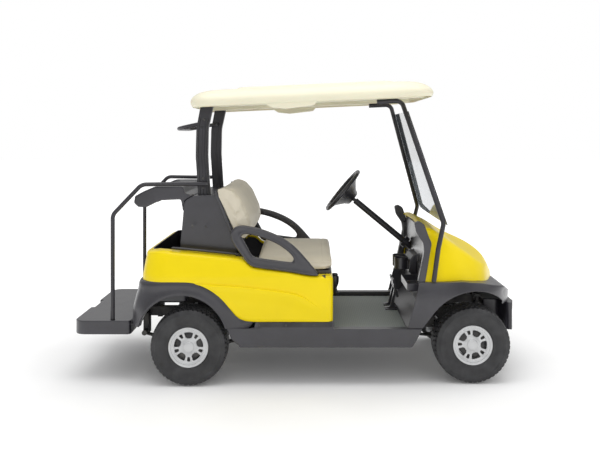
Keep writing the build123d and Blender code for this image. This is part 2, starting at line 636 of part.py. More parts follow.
def build_bag_well():
    """Open tub for the golf bags between the rear struts and the tail."""
    gap = SEAT_GAP
    wall = WALL + gap
    outer = extrude(plan_face(470, BAG_X0 + gap, BAG_X1 - gap, BAG_HALF - gap, 40, 20), amount=320)
    inner = extrude(plan_face(470 + WALL, BAG_X0 + wall, BAG_X1 - wall, BAG_HALF - wall, 36, 16), amount=330)
    tub = outer - inner
    top = [(-300, 460), (-30, 460), (-30, 770.4), (-205, 785.7), (-300, 785.7)]
    tub &= side_prism(top, -700, 700)
    export("bag_well", tub)


def build_battery_pack():
    """Battery pack as one block on the frame under the seat."""
    export("battery_pack", box(360, 790, -330, 330, FLOOR_Z - MAT_T + SEAT_GAP, FLOOR_Z + 276))


# ---------------------------------------------------------------- seats
SEAT_HALF = 500.0
SEAT_REAR = 384.0
SEAT_FRONT = 842.0
PAN_TOP = SEAT_BASE_Z + 20
CROWN_Z = 766.0                # top of the seat cushion
SHOULDER_Z = 722.0             # and at its two ends


def build_seat():
    """Hinged seat bottom: a tray on two pinned lugs, with the crowned cushion on it."""
    rear = SEAT_REAR + 14
    pan = box(rear, SEAT_FRONT - 8, -SEAT_HALF + 10, SEAT_HALF - 10, SEAT_BASE_Z + SEAT_GAP, PAN_TOP)
    for side in (1, -1):
        for lug in (HINGE_Y - 26, HINGE_Y + 16):
            low_y, high_y = sorted((side * lug, side * (lug + 10)))
            pan += box(HINGE_X, rear + 2, low_y, high_y, HINGE_Z - 8, HINGE_Z + 8)
            pan += rod((HINGE_X, low_y, HINGE_Z), (HINGE_X, high_y, HINGE_Z), 8)
        low_y, high_y = sorted((side * (HINGE_Y - 26), side * (HINGE_Y + 26)))
        pan += rod((HINGE_X, low_y, HINGE_Z), (HINGE_X, high_y, HINGE_Z), HINGE_PIN_R)
        low_y, high_y = sorted((side * (HINGE_Y - 16), side * (HINGE_Y + 16)))
        pan -= box(rear - 1, rear + 6, low_y, high_y, SEAT_BASE_Z - 1, PAN_TOP + 1)
    export("seat_pan", pan)
    low = PAN_TOP + SEAT_GAP
    cushion = extrude(plan_face(low, SEAT_REAR, SEAT_FRONT, SEAT_HALF, 50, 70), amount=120)
    across = [(-SEAT_HALF - 1, low), (SEAT_HALF + 1, low), (SEAT_HALF + 1, 694), (SEAT_HALF - 60, SHOULDER_Z + 26),
              (0, CROWN_Z), (60 - SEAT_HALF, SHOULDER_Z + 26), (-SEAT_HALF - 1, 694)]
    bends = [0, 0, 20, 130, 1500, 130, 20]
    front_view = [(SEAT_REAR - 1, y, z) for y, z in across]
    arch = make_face(FilletPolyline(*front_view, radius=bends, close=True))
    cushion &= extrude(arch, amount=SEAT_FRONT - SEAT_REAR + 2, dir=(1, 0, 0))
    along = [(SEAT_REAR - 1, low), (SEAT_FRONT + 1, low), (SEAT_FRONT - 6, 700), (SEAT_FRONT - 30, CROWN_Z + 1),
             (SEAT_REAR + 10, CROWN_Z + 1), (SEAT_REAR - 1, SHOULDER_Z)]
    cushion &= side_prism(along, -SEAT_HALF - 1, SEAT_HALF + 1, [0, 0, 30, 30, 20, 20])
    export("seat_cushion", cushion)


SHROUD = [(8, 1096), (-48, 1066), (-73, 774.8), (263, 745.5), (279, 839), (155, 1100)]
BACK_POINTS = [(274.4, 850), (330, 838), (374, 880), (364, 965), (312, 1080), (262, 1134),
               (205, 1154), (152, 1146), (155.6, 1100)]


def build_seat_back():
    back = side_prism(BACK_POINTS, -SEAT_HALF, SEAT_HALF, [8, 20, 30, 80, 60, 30, 20, 12, 8])
    export("seat_back", back)
    outer = side_prism(SHROUD, -420, 420, [12, 40, 6, 6, 10, 12])
    hollow = [(10, 1091), (-42, 1062), (-68, 700), (250, 700), (273, 839), (152, 1094)]
    outer -= side_prism(hollow, -420 + WALL, 420 - WALL)
    for side in (1, -1):
        outer -= box(STRUT_X - 50, STRUT_X + 50, side * STRUT_Y - STRUT_HALF - 0.5,
                     side * STRUT_Y + STRUT_HALF + 0.5, 1000, 1200)
    export("seat_shroud", outer)


ARM_OUTER = [(251, 873), (265, 915), (307, 935), (366, 927), (479, 890), (603, 815), (700, 700),
             (752, SEAT_BASE_Z + SEAT_GAP), (700, SEAT_BASE_Z + SEAT_GAP), (476, 671 + SEAT_GAP),
             (372, 694.8), (307, 750)]
ARM_INNER = [(307, 868), (390, 880), (479, 846), (603, 757), (609, 731), (379, 761)]


def build_armrests():
    """Closed hip-restraint loops at the seat's two ends."""
    loop = side_prism(ARM_OUTER, 545, 585, [12, 20, 20, 20, 40, 60, 30, 4, 2, 2, 10, 30])
    loop -= side_prism(ARM_INNER, 500, 700, [12, 25, 30, 12, 8, 15])
    export("armrests", *both_sides(loop))


# ---------------------------------------------------------------- front body
COWL = [
    # x, half width at the base, half width and z of the shoulder, z of the crown, shoulder radius
    (1376, 566, 522, 900, 916, 45),
    (1456, 562, 514, 890, 908, 48),
    (1522, 554, 492, 842, 866, 52),
    (1630, 522, 430, 766, 812, 56),
    (1744, 438, 336, 684, 756, 52),
    (1810, 292, 226, 644, 704, 46),
    (1850, 150, 104, 610, 650, 30),
]
COWL_BASE = 520.0              # the sections start here and are cut along the visor line
COWL_NOSE = 1872.0
VISOR = [(1250, COWL_Z), (1600, COWL_Z), (1720, 588), (1880, 548), (1990, 472)]
BEZEL_IN = 521.0
BEZEL_OUT = 566.0
BEZEL_FRONT = [(1374, 941), (1396, 878), (1417, 829), (1405, 760), (1379, COWL_Z)]
BEZEL_REAR = [(1337, COWL_Z), (1373, 778), (1368, 832), (1326, 892), (1315, 948), (1342, 958)]


def cowl_section(x, base, shoulder, z_shoulder, z_crown, r, inset):
    """Front view of the cowl at one x: sloping sides, round shoulders, low crown."""
    h = base - inset
    shoulder_y = shoulder - inset
    corners = [(x, -h, COWL_BASE), (x, h, COWL_BASE), (x, shoulder_y, z_shoulder - inset),
               (x, 0, z_crown - inset), (x, -shoulder_y, z_shoulder - inset)]
    return make_face(FilletPolyline(*corners, radius=[0, 0, r - inset, shoulder_y / 2, r - inset], close=True))


def cowl_solid(inset):
    """Loft of the sections down to the nose, whose last section closes the front."""
    faces = [cowl_section(*section, inset) for section in COWL]
    faces.append(cowl_section(COWL_NOSE - inset, 74, 44, 586, 598, 20, inset))
    return loft(faces)


def below_visor(drop, reach=700):
    """Space under the line where cowl and front moulding meet, lowered by drop."""
    line = [(x, z - drop) for x, z in VISOR]
    return side_prism(line + [(2000, 0), (1250, 0)], -reach, reach, [0, 200, 200, 100, 0, 0, 0])


def build_front_cowl():
    cowl = cowl_solid(0.0) - Pos(-0.5, 0, 0) * cowl_solid(WALL)
    cowl -= below_visor(0)
    edge = [(x + SEAT_GAP, z) for x, z in BEZEL_FRONT]
    for side in (1, -1):
        low, high = sorted((side * (BEZEL_IN - 30), side * 700))
        cowl -= side_prism([(1300, 1000), (1352, 1000)] + edge + [(1300, 500)], low, high,
                           [0, 0, 30, 30, 30, 30, 0, 0])
    export("front_cowl", cowl)


FRONT_ARCH_Z = 252.0
FRONT_ARCH_R = 292.0
FENDER = [
    # z, x0, x1, half, r0, r1
    (250, 1240, 1900, 566, 20, 440),
    (440, 1240, 1956, 588, 20, 462),
    (488, 1240, 1962, BODY_HALF, 20, 468),
    (612, 1240, 1930, 572, 20, 450),
]


def build_front_fender():
    """Visor and side panels in one moulding, from the kick panels over the arches round the nose."""
    tail = SILL_TOP + SEAT_GAP
    outer = plan_loft(FENDER) & below_visor(SEAT_GAP)
    inner = plan_loft(FENDER, WALL) & below_visor(SEAT_GAP + WALL)
    skin = outer - inner
    skin -= box(1200, 1392 + SEAT_GAP, -BEZEL_OUT + 4, BEZEL_OUT - 4, 200, 700)
    skin -= box(COWL_REAR, FENDER_LID, -LID_HALF, LID_HALF, 480, 700)
    skin -= box(COWL_REAR, COWL_REAR + 8, -SILL_IN - 2, SILL_IN + 2, 480, 700)
    rear_edge = [(1150, 700), (1337, 700), (1337, COWL_Z - 20), (1277, 347), (1271, tail), (1270, 200), (1150, 200)]
    skin -= side_prism(rear_edge, -700, 700, [0, 0, 40, 40, 0, 0, 0])
    under = [(1200, tail), (1363, tail), (1404, 391), (1440, 442), (1700, 442), (2100, 442), (2100, 100), (1200, 100)]
    skin -= side_prism(under, -700, 700, [0, 0, 30, 0, 0, 0, 0, 0])
    skin -= rod((FRONT_X, -700, FRONT_ARCH_Z), (FRONT_X, -400, FRONT_ARCH_Z), FRONT_ARCH_R)
    skin -= rod((FRONT_X, 400, FRONT_ARCH_Z), (FRONT_X, 700, FRONT_ARCH_Z), FRONT_ARCH_R)
    export("front_fender", skin, front_bumper())


FENDER_LID = 1700.0            # the moulding is open below the cowl up to here
LID_HALF = 380.0


def bumper_plan(inset):
    """Plan outline of the bumper, narrow between the steered wheels."""
    half = [(BUMPER_BACK + inset, BUMPER_NARROW - inset), (1880 + inset, BUMPER_NARROW + 8 - inset),
            (1912 + inset, BUMPER_WIDE - 6 - inset), (BUMPER_FACE - 20 - inset, BUMPER_WIDE - inset),
            (BUMPER_FACE - inset, BUMPER_WIDE - 70 - inset)]
    points = [(x, -y) for x, y in half] + [(x, y) for x, y in reversed(half)]
    bends = [12, 24, 28, 10, 30, 30, 10, 28, 24, 12]
    return make_face(FilletPolyline(*points, radius=bends, close=True))


def front_bumper():
    """Moulded bumper under the visor, open below and cut away upward at its back."""
    height = BUMPER_TOP - BUMPER_LOW
    outer = Pos(0, 0, BUMPER_LOW) * extrude(bumper_plan(0.0), amount=height, dir=(0, 0, 1))
    hollow = Pos(0, 0, BUMPER_LOW - WALL) * extrude(bumper_plan(WALL), amount=height, dir=(0, 0, 1))
    opening = box(BUMPER_BACK - 1, 1870, -BUMPER_NARROW + WALL, BUMPER_NARROW - WALL, BUMPER_LOW - 1, BUMPER_TOP - WALL)
    under = [(BUMPER_BACK - 1, BUMPER_LOW - 1), (1900, BUMPER_LOW - 1), (BUMPER_BACK - 1, BUMPER_LOW + 24)]
    return outer - hollow - opening - side_prism(under, -BUMPER_WIDE, BUMPER_WIDE)


DASH_Z = 884.0                 # top of the dash panel between the bezels
CUP_R = 43.0
CUP_Y = 62.0
CUP_X = 1296.0
CUP_LOW = 598.0
CUP_TOP = 674.0


def build_dashboard():
    """Dash panel between two bezels, with a console, two cup holders and a parcel tray."""
    panel_x = DASH_FRONT + 7
    panel = box(panel_x, panel_x + 12, -PANEL_HALF, PANEL_HALF, COWL_Z + 2, DASH_Z)
    panel += box(panel_x, panel_x + 46, -470, 470, DASH_Z - 8, DASH_Z)
    for side in (1, -1):
        low, high = sorted((side * BEZEL_IN, side * BEZEL_OUT))
        panel += side_prism(BEZEL_FRONT + BEZEL_REAR, low, high, [30, 30, 30, 30, 3, 3, 60, 60, 60, 14, 14])
        low, high = sorted((side * (PANEL_HALF - 1), side * (BEZEL_IN + 2)))
        web = [(1380, COWL_Z + 44), (panel_x + 12, COWL_Z + 44), (panel_x + 12, DASH_Z - 46), (1376, DASH_Z - 46)]
        panel += side_prism(web, low, high)
    console = [(panel_x + 2, 700), (1368, 694), (1342, 660), (1336, 590), (1362, 560), (panel_x - 8, 560),
               (panel_x - 8, COWL_Z + 44), (panel_x + 2, COWL_Z + 44)]
    panel += side_prism(console, -120, 120)
    for y in (CUP_Y, -CUP_Y):
        panel += rod((CUP_X, y, CUP_LOW), (CUP_X, y, CUP_TOP), CUP_R)
        panel += box(CUP_X, 1350, y - 22, y + 22, CUP_LOW + 10, CUP_TOP - 22)
    for y in (CUP_Y, -CUP_Y):
        panel -= rod((CUP_X, y, CUP_LOW + WALL), (CUP_X, y, CUP_TOP + 1), CUP_R - WALL)
    tray = box(1286, panel_x - 7 - SEAT_GAP, -470, -150, 530, 578) - box(1290, panel_x - 12, -466, -154, 534, 600)
    lip = box(panel_x - 12, panel_x + 12, -470, -150, COWL_Z + 44, COWL_Z + 50)
    lip += box(panel_x - 12, panel_x - 7 - SEAT_GAP, -470, -150, 560, COWL_Z + 50)
    panel += tray + lip
    panel -= rod(along_column(420), along_column(COLUMN_END + 20), COLUMN_R + SEAT_GAP)
    panel -= rod(along_column(BOOT_START - SEAT_GAP), along_column(COLUMN_END + 60), BOOT_R + SEAT_GAP)
    export("dashboard", panel)


# ---------------------------------------------------------------- canopy and its supports
STRUT_R = 14.0


STRUT_TOP = Vector(1268, 330, 0)
STRUT_FOOT = Vector(1486, 566, 946)
LEG_Y = BEZEL_OUT + STRUT_R + SEAT_GAP
PANE_T = 5.0
ROOF_EDGE_X = 700.0            # where the edge height is measured
ROOF_TILT = 2.6                # the canopy rises to the front, degrees
RIB_DROP = 4.0


def roof_under(x):
    """Height of the rib undersides above this x."""
    return ROOF_EDGE_Z + (x - ROOF_EDGE_X) * sin(radians(ROOF_TILT)) / cos(radians(ROOF_TILT)) + RIB_DROP


def build_front_struts():
    """Tube from under the canopy, down the windshield's edge and the cowl's side."""
    drop = STRUT_R + SEAT_GAP
    top_x = STRUT_TOP.X
    points = [
        (top_x - 150, STRUT_TOP.Y, roof_under(top_x - 150) - drop),
        (top_x, STRUT_TOP.Y, roof_under(top_x) - drop),
        tuple(STRUT_FOOT),
        (1452, LEG_Y, 800),
        (1426, LEG_Y, COWL_Z + 4),
    ]
    export("front_struts", *both_sides(bent_tube(points, [45, 60, 60], STRUT_R)))


def pane(z_low, z_high):
    """Flat sheet across the fronts of the two struts, as wide as they stand apart."""
    top = Vector(STRUT_TOP.X, STRUT_TOP.Y, roof_under(STRUT_TOP.X) - STRUT_R)
    run = top - STRUT_FOOT
    forward = Vector(-run.Z, 0, run.X).normalized() * -1
    lift = forward * (STRUT_R + SEAT_GAP)
    corners = []
    for z, side in ((z_low, -1), (z_low, 1), (z_high, 1), (z_high, -1)):
        on_strut = STRUT_FOOT + run * ((z - STRUT_FOOT.Z) / run.Z)
        corners.append(Vector(on_strut.X, side * on_strut.Y, on_strut.Z) + lift)
    return extrude(make_face(Polyline(*corners, close=True)), amount=PANE_T, dir=forward)


def build_windshield():
    """Two panes between the struts; the upper one folds down on the real cart."""
    export("windshield_lower", pane(932, 1290))
    export("windshield_upper", pane(1290 + SEAT_GAP, 1600))


ROOF = [
    # z above the edge, x0, x1, half, r0, r1
    (0, 8, 1436, ROOF_HALF, 130, 170),
    (34, -2, 1448, ROOF_HALF + 5, 130, 170),
    (72, 22, 1416, ROOF_HALF - 26, 120, 160),
    (98, 150, 1330, ROOF_HALF - 120, 100, 130),
    (116, 270, 1220, ROOF_HALF - 230, 80, 110),
]
RIB_Y0 = 305.0
RIB_Y1 = 385.0
GRIP = [(430, 10), (760, 10), (728, -22), (560, -34), (478, -22)]
GRIP_OUT = 583.4                # against the skin's inner face
GRIP_IN = 520.0


def build_roof():
    """Formed canopy skin over two lengthwise channels that bolt to the struts."""
    tilt = Pos(ROOF_EDGE_X, 0, ROOF_EDGE_Z) * Rot(0, -ROOF_TILT, 0) * Pos(-ROOF_EDGE_X, 0, 0)
    shell = plan_loft(ROOF) - Pos(0, 0, -5) * plan_loft(ROOF, WALL)
    inside = Pos(0, 0, -5 - SEAT_GAP) * plan_loft(ROOF, WALL + SEAT_GAP)
    rails = []
    for side in (1, -1):
        y0, y1 = sorted((side * RIB_Y0, side * RIB_Y1))
        rib = box(-20, 1400, y0, y1, RIB_DROP, 200) - box(-17, 1397, y0 + 3, y1 - 3, RIB_DROP + 3, 300)
        rails.append(tilt * (rib & inside))
        y0, y1 = sorted((side * GRIP_IN, side * GRIP_OUT))
        rails.append(tilt * side_prism(GRIP, y0, y1, [4, 4, 30, 60, 30]))
    export("roof", tilt * shell, *rails)


GROOVE = 4.0                   # depth of the lengthwise groove in a strut


def build_rear_struts():
    """Bowed box struts with a groove along both faces."""
    foot = RAIL_HIGH + RAIL_H
    front = [(104, foot), (103, 1100), (88, 1330), (91, 1500)]
    rear = [(18, 1500), (14, 1330), (28, 1100), (28, foot)]
    top = [(120, roof_under(120) - SEAT_GAP), (42, roof_under(42) - SEAT_GAP)]
    points = front + top + rear
    bends = [0, 300, 400, 200, 0, 0, 200, 400, 300, 0]
    strut = side_prism(points, STRUT_Y - STRUT_HALF, STRUT_Y + STRUT_HALF, bends)
    for side in (1, -1):
        face = STRUT_Y + side * STRUT_HALF
        groove = [(84, 1090), (68, 1330), (74, 1560), (58, 1560), (50, 1330), (62, 1090)]
        low, high = sorted((face - side * GROOVE, face + side))
        strut -= side_prism(groove, low, high, [6, 200, 6, 6, 200, 6])
    export("rear_struts", *both_sides(strut))


def build_rear_hoop():
    seat = STRUT_Y - STRUT_HALF - SEAT_GAP
    half = [(54, seat, 1535), (54, seat - 40, 1535), (-118, seat - 80, 1500)]
    points = half + [(x, -y, z) for x, y, z in reversed(half)]
    hoop = bent_tube(points, [30, 110, 110, 30], 12)
    export("rear_hoop", hoop)


def build_grab_bars():
    """Tubes that stand in the step's sockets and run forward to the struts."""
    seat = STRUT_Y + STRUT_HALF + BAR_R + SEAT_GAP
    bar = bent_tube([(BAR_X, BAR_Y, STEP_LOW + 22 + SEAT_GAP), (BAR_X, BAR_Y, 985), (-300, 440, 1165),
                     (-120, seat, 1165), (92, seat, 1165)], [60, 60, 60], BAR_R)
    export("grab_bars", *both_sides(bar))


RACK_HALF = 400.0
REST_R = 150.0                 # round rests for two bags
REST_X = -312.0
REST_Y = 196.0


def build_bag_rack():
    """Three prongs behind a cross bar, with a round rest for a bag between each pair."""
    side_view = [(-350, 1092), (-356, 1050), (-330, 1026), (-282, 1024), (-200, 1066), (-72, 1072), (-60, 1000),
                 (-20, 1000), (4, 1072), (4, 1094), (-50, 1112), (-60, 1150), (-230, 1150), (-300, 1120)]
    rack = side_prism(side_view, -RACK_HALF, RACK_HALF, [16, 14, 16, 20, 40, 10, 10, 10, 10, 6, 14, 14, 60, 40])
    for y in (REST_Y, -REST_Y):
        rack -= rod((REST_X, y, 900), (REST_X, y, 1300), REST_R)
        rack -= box(REST_X - 200, REST_X, y - REST_R, y + REST_R, 900, 1300)
    back = [(x - SEAT_GAP, z + SEAT_GAP) for x, z in SHROUD[:3]]
    rack -= side_prism([(300, 1096 + SEAT_GAP), back[0], back[1], back[2], (300, 774)], -500, 500)
    for side in (1, -1):
        y = side * STRUT_Y
        rack -= box(STRUT_X - 80, STRUT_X + 60, y - STRUT_HALF - SEAT_GAP, y + STRUT_HALF + SEAT_GAP, 990, 1300)
    export("bag_rack", rack)


def build_pedals():
    pads = []
    for y, half in ((95.0, 46.0), (215.0, 34.0)):
        pad = side_prism([(1250, 506), (1264, 510), (1294, 392), (1280, 388)], y - half, y + half, 5)
        pad += side_prism([(1268, 436), (1282, 436), (1262, 330), (1290, 314), (1290, FLOOR_Z), (1206, FLOOR_Z),
                           (1206, 314), (1240, 320)], y - 12, y + 12, [2, 2, 20, 4, 2, 2, 4, 20])
        pads.append(pad + box(1206, 1290 - 6, y - half, y + half, FLOOR_Z, FLOOR_Z + 6))
    export("pedals", *pads)


def build_direction_lever():
    lever = rod((POD_FRONT, 0, 555), (POD_FRONT + 6, 0, 555), 38)
    lever += rod((POD_FRONT + 9, 0, 555), (POD_FRONT + 40, 0, 430), 8)
    lever += Pos(POD_FRONT + 40, 0, 430) * Sphere(16)
    export("direction_lever", lever)


def main():
    os.makedirs("parts", exist_ok=True)
    build_wheels()
    build_front_axle()
    build_steering_linkage()
    build_steering_wheel()
    build_steering_column()
    build_rear_axle()
    build_springs()
    build_frame()
    build_floor()
    build_sills()
    build_step()
    build_rear_body()
    build_rear_fender()
    build_bag_well()
    build_battery_pack()
    build_seat()
    build_seat_back()
    build_armrests()
    build_front_cowl()
    build_front_fender()
    build_dashboard()
    build_front_struts()
    build_windshield()
    build_roof()
    build_rear_struts()
    build_rear_hoop()
    build_grab_bars()
    build_bag_rack()
    build_pedals()
    build_direction_lever()


main()
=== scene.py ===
"""Visual model of a two-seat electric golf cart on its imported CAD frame.

Laid out as an add-on and run as a script. Metres, X forward, Y left, Z up.
"""

import math

import bmesh
import bpy
from mathutils import Matrix, Vector
from mathutils.bvhtree import BVHTree


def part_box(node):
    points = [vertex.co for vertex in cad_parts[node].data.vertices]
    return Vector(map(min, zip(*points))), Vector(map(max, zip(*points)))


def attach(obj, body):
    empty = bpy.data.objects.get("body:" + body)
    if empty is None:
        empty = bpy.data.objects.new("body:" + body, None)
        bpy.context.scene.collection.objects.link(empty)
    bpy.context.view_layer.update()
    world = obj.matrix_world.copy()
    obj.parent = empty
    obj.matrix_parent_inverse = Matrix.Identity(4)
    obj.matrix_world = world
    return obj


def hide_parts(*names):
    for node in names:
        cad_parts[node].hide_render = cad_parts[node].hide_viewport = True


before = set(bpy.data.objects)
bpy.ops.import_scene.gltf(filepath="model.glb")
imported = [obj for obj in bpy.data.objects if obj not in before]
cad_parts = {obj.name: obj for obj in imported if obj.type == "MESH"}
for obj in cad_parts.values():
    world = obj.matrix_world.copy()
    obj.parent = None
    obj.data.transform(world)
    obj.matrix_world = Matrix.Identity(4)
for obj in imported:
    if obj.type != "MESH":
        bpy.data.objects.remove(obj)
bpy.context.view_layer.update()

bl_info = {
    "name": "Golf cart",
    "version": (1, 0, 0),
    "blender": (4, 5, 0),
    "location": "3D View > Sidebar > Cart",
    "description": "Builds the body, trim, seats, wheels and stage of a golf cart on its CAD frame",
    "category": "Object",
}

MM = 0.001
REAR_AXLE_X = -638.0  # the drawing measures x from the rear axle, the frame from the cart's middle


def linear(code):
    """Linear colour of an sRGB hex value."""
    parts = [int(code[i : i + 2], 16) / 255 for i in (1, 3, 5)]
    return tuple(c / 12.92 if c <= 0.04045 else ((c + 0.055) / 1.055) ** 2.4 for c in parts)


# ------------------------------------------------------------------ sizes and colours
class CartSizes(bpy.types.PropertyGroup):
    crease: bpy.props.FloatProperty(
        name="Body crease", description="How far the body side steps out at its crease",
        default=0.012, min=0.0, max=0.02, subtype="DISTANCE", unit="LENGTH")


class CartColours(bpy.types.PropertyGroup):
    body: bpy.props.FloatVectorProperty(
        name="Body", description="Paint of the body panels", default=linear("#F4D900"), size=3,
        min=0.0, max=1.0, subtype="COLOR")
    moulding: bpy.props.FloatVectorProperty(
        name="Mouldings", description="Charcoal fenders, sills, dash and armrests",
        default=linear("#2B2A30"), size=3, min=0.0, max=1.0, subtype="COLOR")
    canopy: bpy.props.FloatVectorProperty(
        name="Canopy", description="Plastic of the roof", default=linear("#E4DFC6"), size=3,
        min=0.0, max=1.0, subtype="COLOR")
    vinyl: bpy.props.FloatVectorProperty(
        name="Seat vinyl", description="Cover of the seat bottom and back",
        default=linear("#CFC7B4"), size=3, min=0.0, max=1.0, subtype="COLOR")
    wheel: bpy.props.FloatVectorProperty(
        name="Wheels", description="Silver paint of the rims", default=linear("#CFD0D1"), size=3,
        min=0.0, max=1.0, subtype="COLOR")


def sizes():
    return bpy.context.scene.cart_sizes


def colour(name):
    """One of the user's colours, with alpha."""
    return (*getattr(bpy.context.scene.cart_colours, name), 1.0)


def tone(code):
    return (*linear(code), 1.0)


# ------------------------------------------------------------------ materials
def node(tree, kind, sockets=None, stops=(), **settings):
    """Adds one node: settings are its properties, sockets are values or the outputs linked to them,
    and stops are the (place, colour) pairs of a colour ramp."""
    made = tree.nodes.new(kind)
    for key, value in settings.items():
        setattr(made, key, value)
    for key, value in (sockets or {}).items():
        if isinstance(value, bpy.types.NodeSocket):
            tree.links.new(value, made.inputs[key])
        else:
            made.inputs[key].default_value = value
    for index, (place, shade) in enumerate(stops):
        band = made.color_ramp
        if index >= len(band.elements):
            band.elements.new(place)
        band.elements[index].position, band.elements[index].color = place, shade
    return made


def shades(base, dark, light):
    """The base colour times two factors, for mottling it."""
    return [(*[min(c * k, 1.0) for c in base[:3]], 1.0) for k in (dark, light)]


def painted_body_panel(tree, place):
    # Thermoplastic panel with automotive paint under clear lacquer: a deep even yellow, mirror
    # glints from the lacquer, and a faint orange peel (about 9 mm) that softens them.
    mottle = node(tree, "ShaderNodeTexNoise", {"Vector": place, "Scale": 6.0, "Detail": 3.0})
    dark, light = shades(colour("body"), 0.96, 1.0)
    base = node(tree, "ShaderNodeValToRGB", {"Fac": mottle.outputs["Fac"]},
        stops=[(0.35, dark), (0.65, light)])
    peel = node(tree, "ShaderNodeTexNoise", {"Vector": place, "Scale": 110.0, "Detail": 1.0})
    bump = node(tree, "ShaderNodeBump", {"Height": peel.outputs["Fac"], "Strength": 0.12, "Distance": 0.0006})
    return node(tree, "ShaderNodeBsdfPrincipled", {
        "Base Color": base.outputs["Color"], "Roughness": 0.34, "IOR": 1.5, "Specular IOR Level": 0.22,
        "Coat Weight": 0.12, "Coat Roughness": 0.06, "Normal": bump.outputs["Normal"]})


def moulded_polypropylene(tree, place):
    # Injection-moulded polypropylene with a fine leather-like mould grain (1.5 mm cells, drawn at
    # 3 mm so that it shows): charcoal, satin, with a broad soft sheen and paler worn high spots.
    cells = node(tree, "ShaderNodeTexVoronoi", {"Vector": place, "Scale": 330.0}, feature="SMOOTH_F1")
    wear = node(tree, "ShaderNodeTexNoise", {"Vector": place, "Scale": 9.0, "Detail": 6.0})
    dark, light = shades(colour("moulding"), 0.8, 1.25)
    base = node(tree, "ShaderNodeValToRGB", {"Fac": wear.outputs["Fac"]}, stops=[(0.3, dark), (0.7, light)])
    rough = node(tree, "ShaderNodeMapRange", {"Value": wear.outputs["Fac"], "To Min": 0.28, "To Max": 0.42})
    bump = node(tree, "ShaderNodeBump", {"Height": cells.outputs["Distance"], "Strength": 0.5,
        "Distance": 0.0008})
    return node(tree, "ShaderNodeBsdfPrincipled", {
        "Base Color": base.outputs["Color"], "Roughness": rough.outputs["Result"], "IOR": 1.5,
        "Coat Weight": 0.5, "Coat Roughness": 0.25, "Normal": bump.outputs["Normal"]})


def powder_coated_steel(tree, place):
    # Steel tube with black polyester powder coat: near black, satin, with the coat's slight
    # pebble (2 mm, drawn at 4 mm) breaking up the long highlights.
    pebble = node(tree, "ShaderNodeTexNoise", {"Vector": place, "Scale": 260.0, "Detail": 2.0})
    fade = node(tree, "ShaderNodeTexNoise", {"Vector": place, "Scale": 5.0, "Detail": 4.0})
    base = node(tree, "ShaderNodeValToRGB", {"Fac": fade.outputs["Fac"]},
        stops=[(0.3, tone("#242327")), (0.7, tone("#323137"))])
    bump = node(tree, "ShaderNodeBump", {"Height": pebble.outputs["Fac"], "Strength": 0.25,
        "Distance": 0.0005})
    return node(tree, "ShaderNodeBsdfPrincipled", {
        "Base Color": base.outputs["Color"], "Roughness": 0.36, "IOR": 1.5, "Normal": bump.outputs["Normal"]})


def enamelled_chassis_steel(tree, place):
    # Welded chassis steel under a thin grey-black enamel with road dust in its low spots.
    dust = node(tree, "ShaderNodeTexNoise", {"Vector": place, "Scale": 14.0, "Detail": 8.0})
    base = node(tree, "ShaderNodeValToRGB", {"Fac": dust.outputs["Fac"]},
        stops=[(0.4, tone("#2A2A2D")), (0.72, tone("#5A5854"))])
    bump = node(tree, "ShaderNodeBump", {"Height": dust.outputs["Fac"], "Strength": 0.3, "Distance": 0.001})
    return node(tree, "ShaderNodeBsdfPrincipled", {
        "Base Color": base.outputs["Color"], "Roughness": 0.55, "IOR": 1.5, "Normal": bump.outputs["Normal"]})


def zinc_plated_steel(tree, place):
    # Zinc-plated steel: bright cool grey metal with cloudy spangle and a soft reflection.
    spangle = node(tree, "ShaderNodeTexVoronoi", {"Vector": place, "Scale": 160.0})
    base = node(tree, "ShaderNodeValToRGB", {"Fac": spangle.outputs["Distance"]},
        stops=[(0.0, tone("#8F9192")), (0.6, tone("#C3C5C6"))])
    rough = node(tree, "ShaderNodeMapRange", {"Value": spangle.outputs["Distance"], "To Min": 0.28,
        "To Max": 0.45})
    return node(tree, "ShaderNodeBsdfPrincipled", {
        "Base Color": base.outputs["Color"], "Metallic": 1.0, "Roughness": rough.outputs["Result"]})


def silver_painted_steel(tree, place):
    # Pressed wheel disc in silver metallic paint: pale grey with a fine flake sparkle (0.4 mm, drawn at 1 mm)
    # and a soft broad highlight.
    flake = node(tree, "ShaderNodeTexNoise", {"Vector": place, "Scale": 900.0, "Detail": 1.0})
    dark, light = shades(colour("wheel"), 0.86, 1.04)
    base = node(tree, "ShaderNodeValToRGB", {"Fac": flake.outputs["Fac"]},
        stops=[(0.35, dark), (0.65, light)])
    bump = node(tree, "ShaderNodeBump", {"Height": flake.outputs["Fac"], "Strength": 0.1, "Distance": 0.0003})
    return node(tree, "ShaderNodeBsdfPrincipled", {
        "Base Color": base.outputs["Color"], "Metallic": 0.35, "Roughness": 0.34, "Coat Weight": 0.3,
        "Coat Roughness": 0.15, "Normal": bump.outputs["Normal"]})


def vulcanised_rubber(tree, place):
    # Carbon-black tyre rubber, vulcanised in a steel mould: dark, dull, with a faint grey bloom
    # and fine pitting that keep it from looking like plastic.
    bloom = node(tree, "ShaderNodeTexNoise", {"Vector": place, "Scale": 16.0, "Detail": 7.0})
    pits = node(tree, "ShaderNodeTexNoise", {"Vector": place, "Scale": 420.0, "Detail": 2.0})
    base = node(tree, "ShaderNodeValToRGB", {"Fac": bloom.outputs["Fac"]},
        stops=[(0.3, tone("#1F1F21")), (0.75, tone("#38383A"))])
    bump = node(tree, "ShaderNodeBump", {"Height": pits.outputs["Fac"], "Strength": 0.4, "Distance": 0.0008})
    return node(tree, "ShaderNodeBsdfPrincipled", {
        "Base Color": base.outputs["Color"], "Roughness": 0.5, "IOR": 1.52, "Normal": bump.outputs["Normal"]})


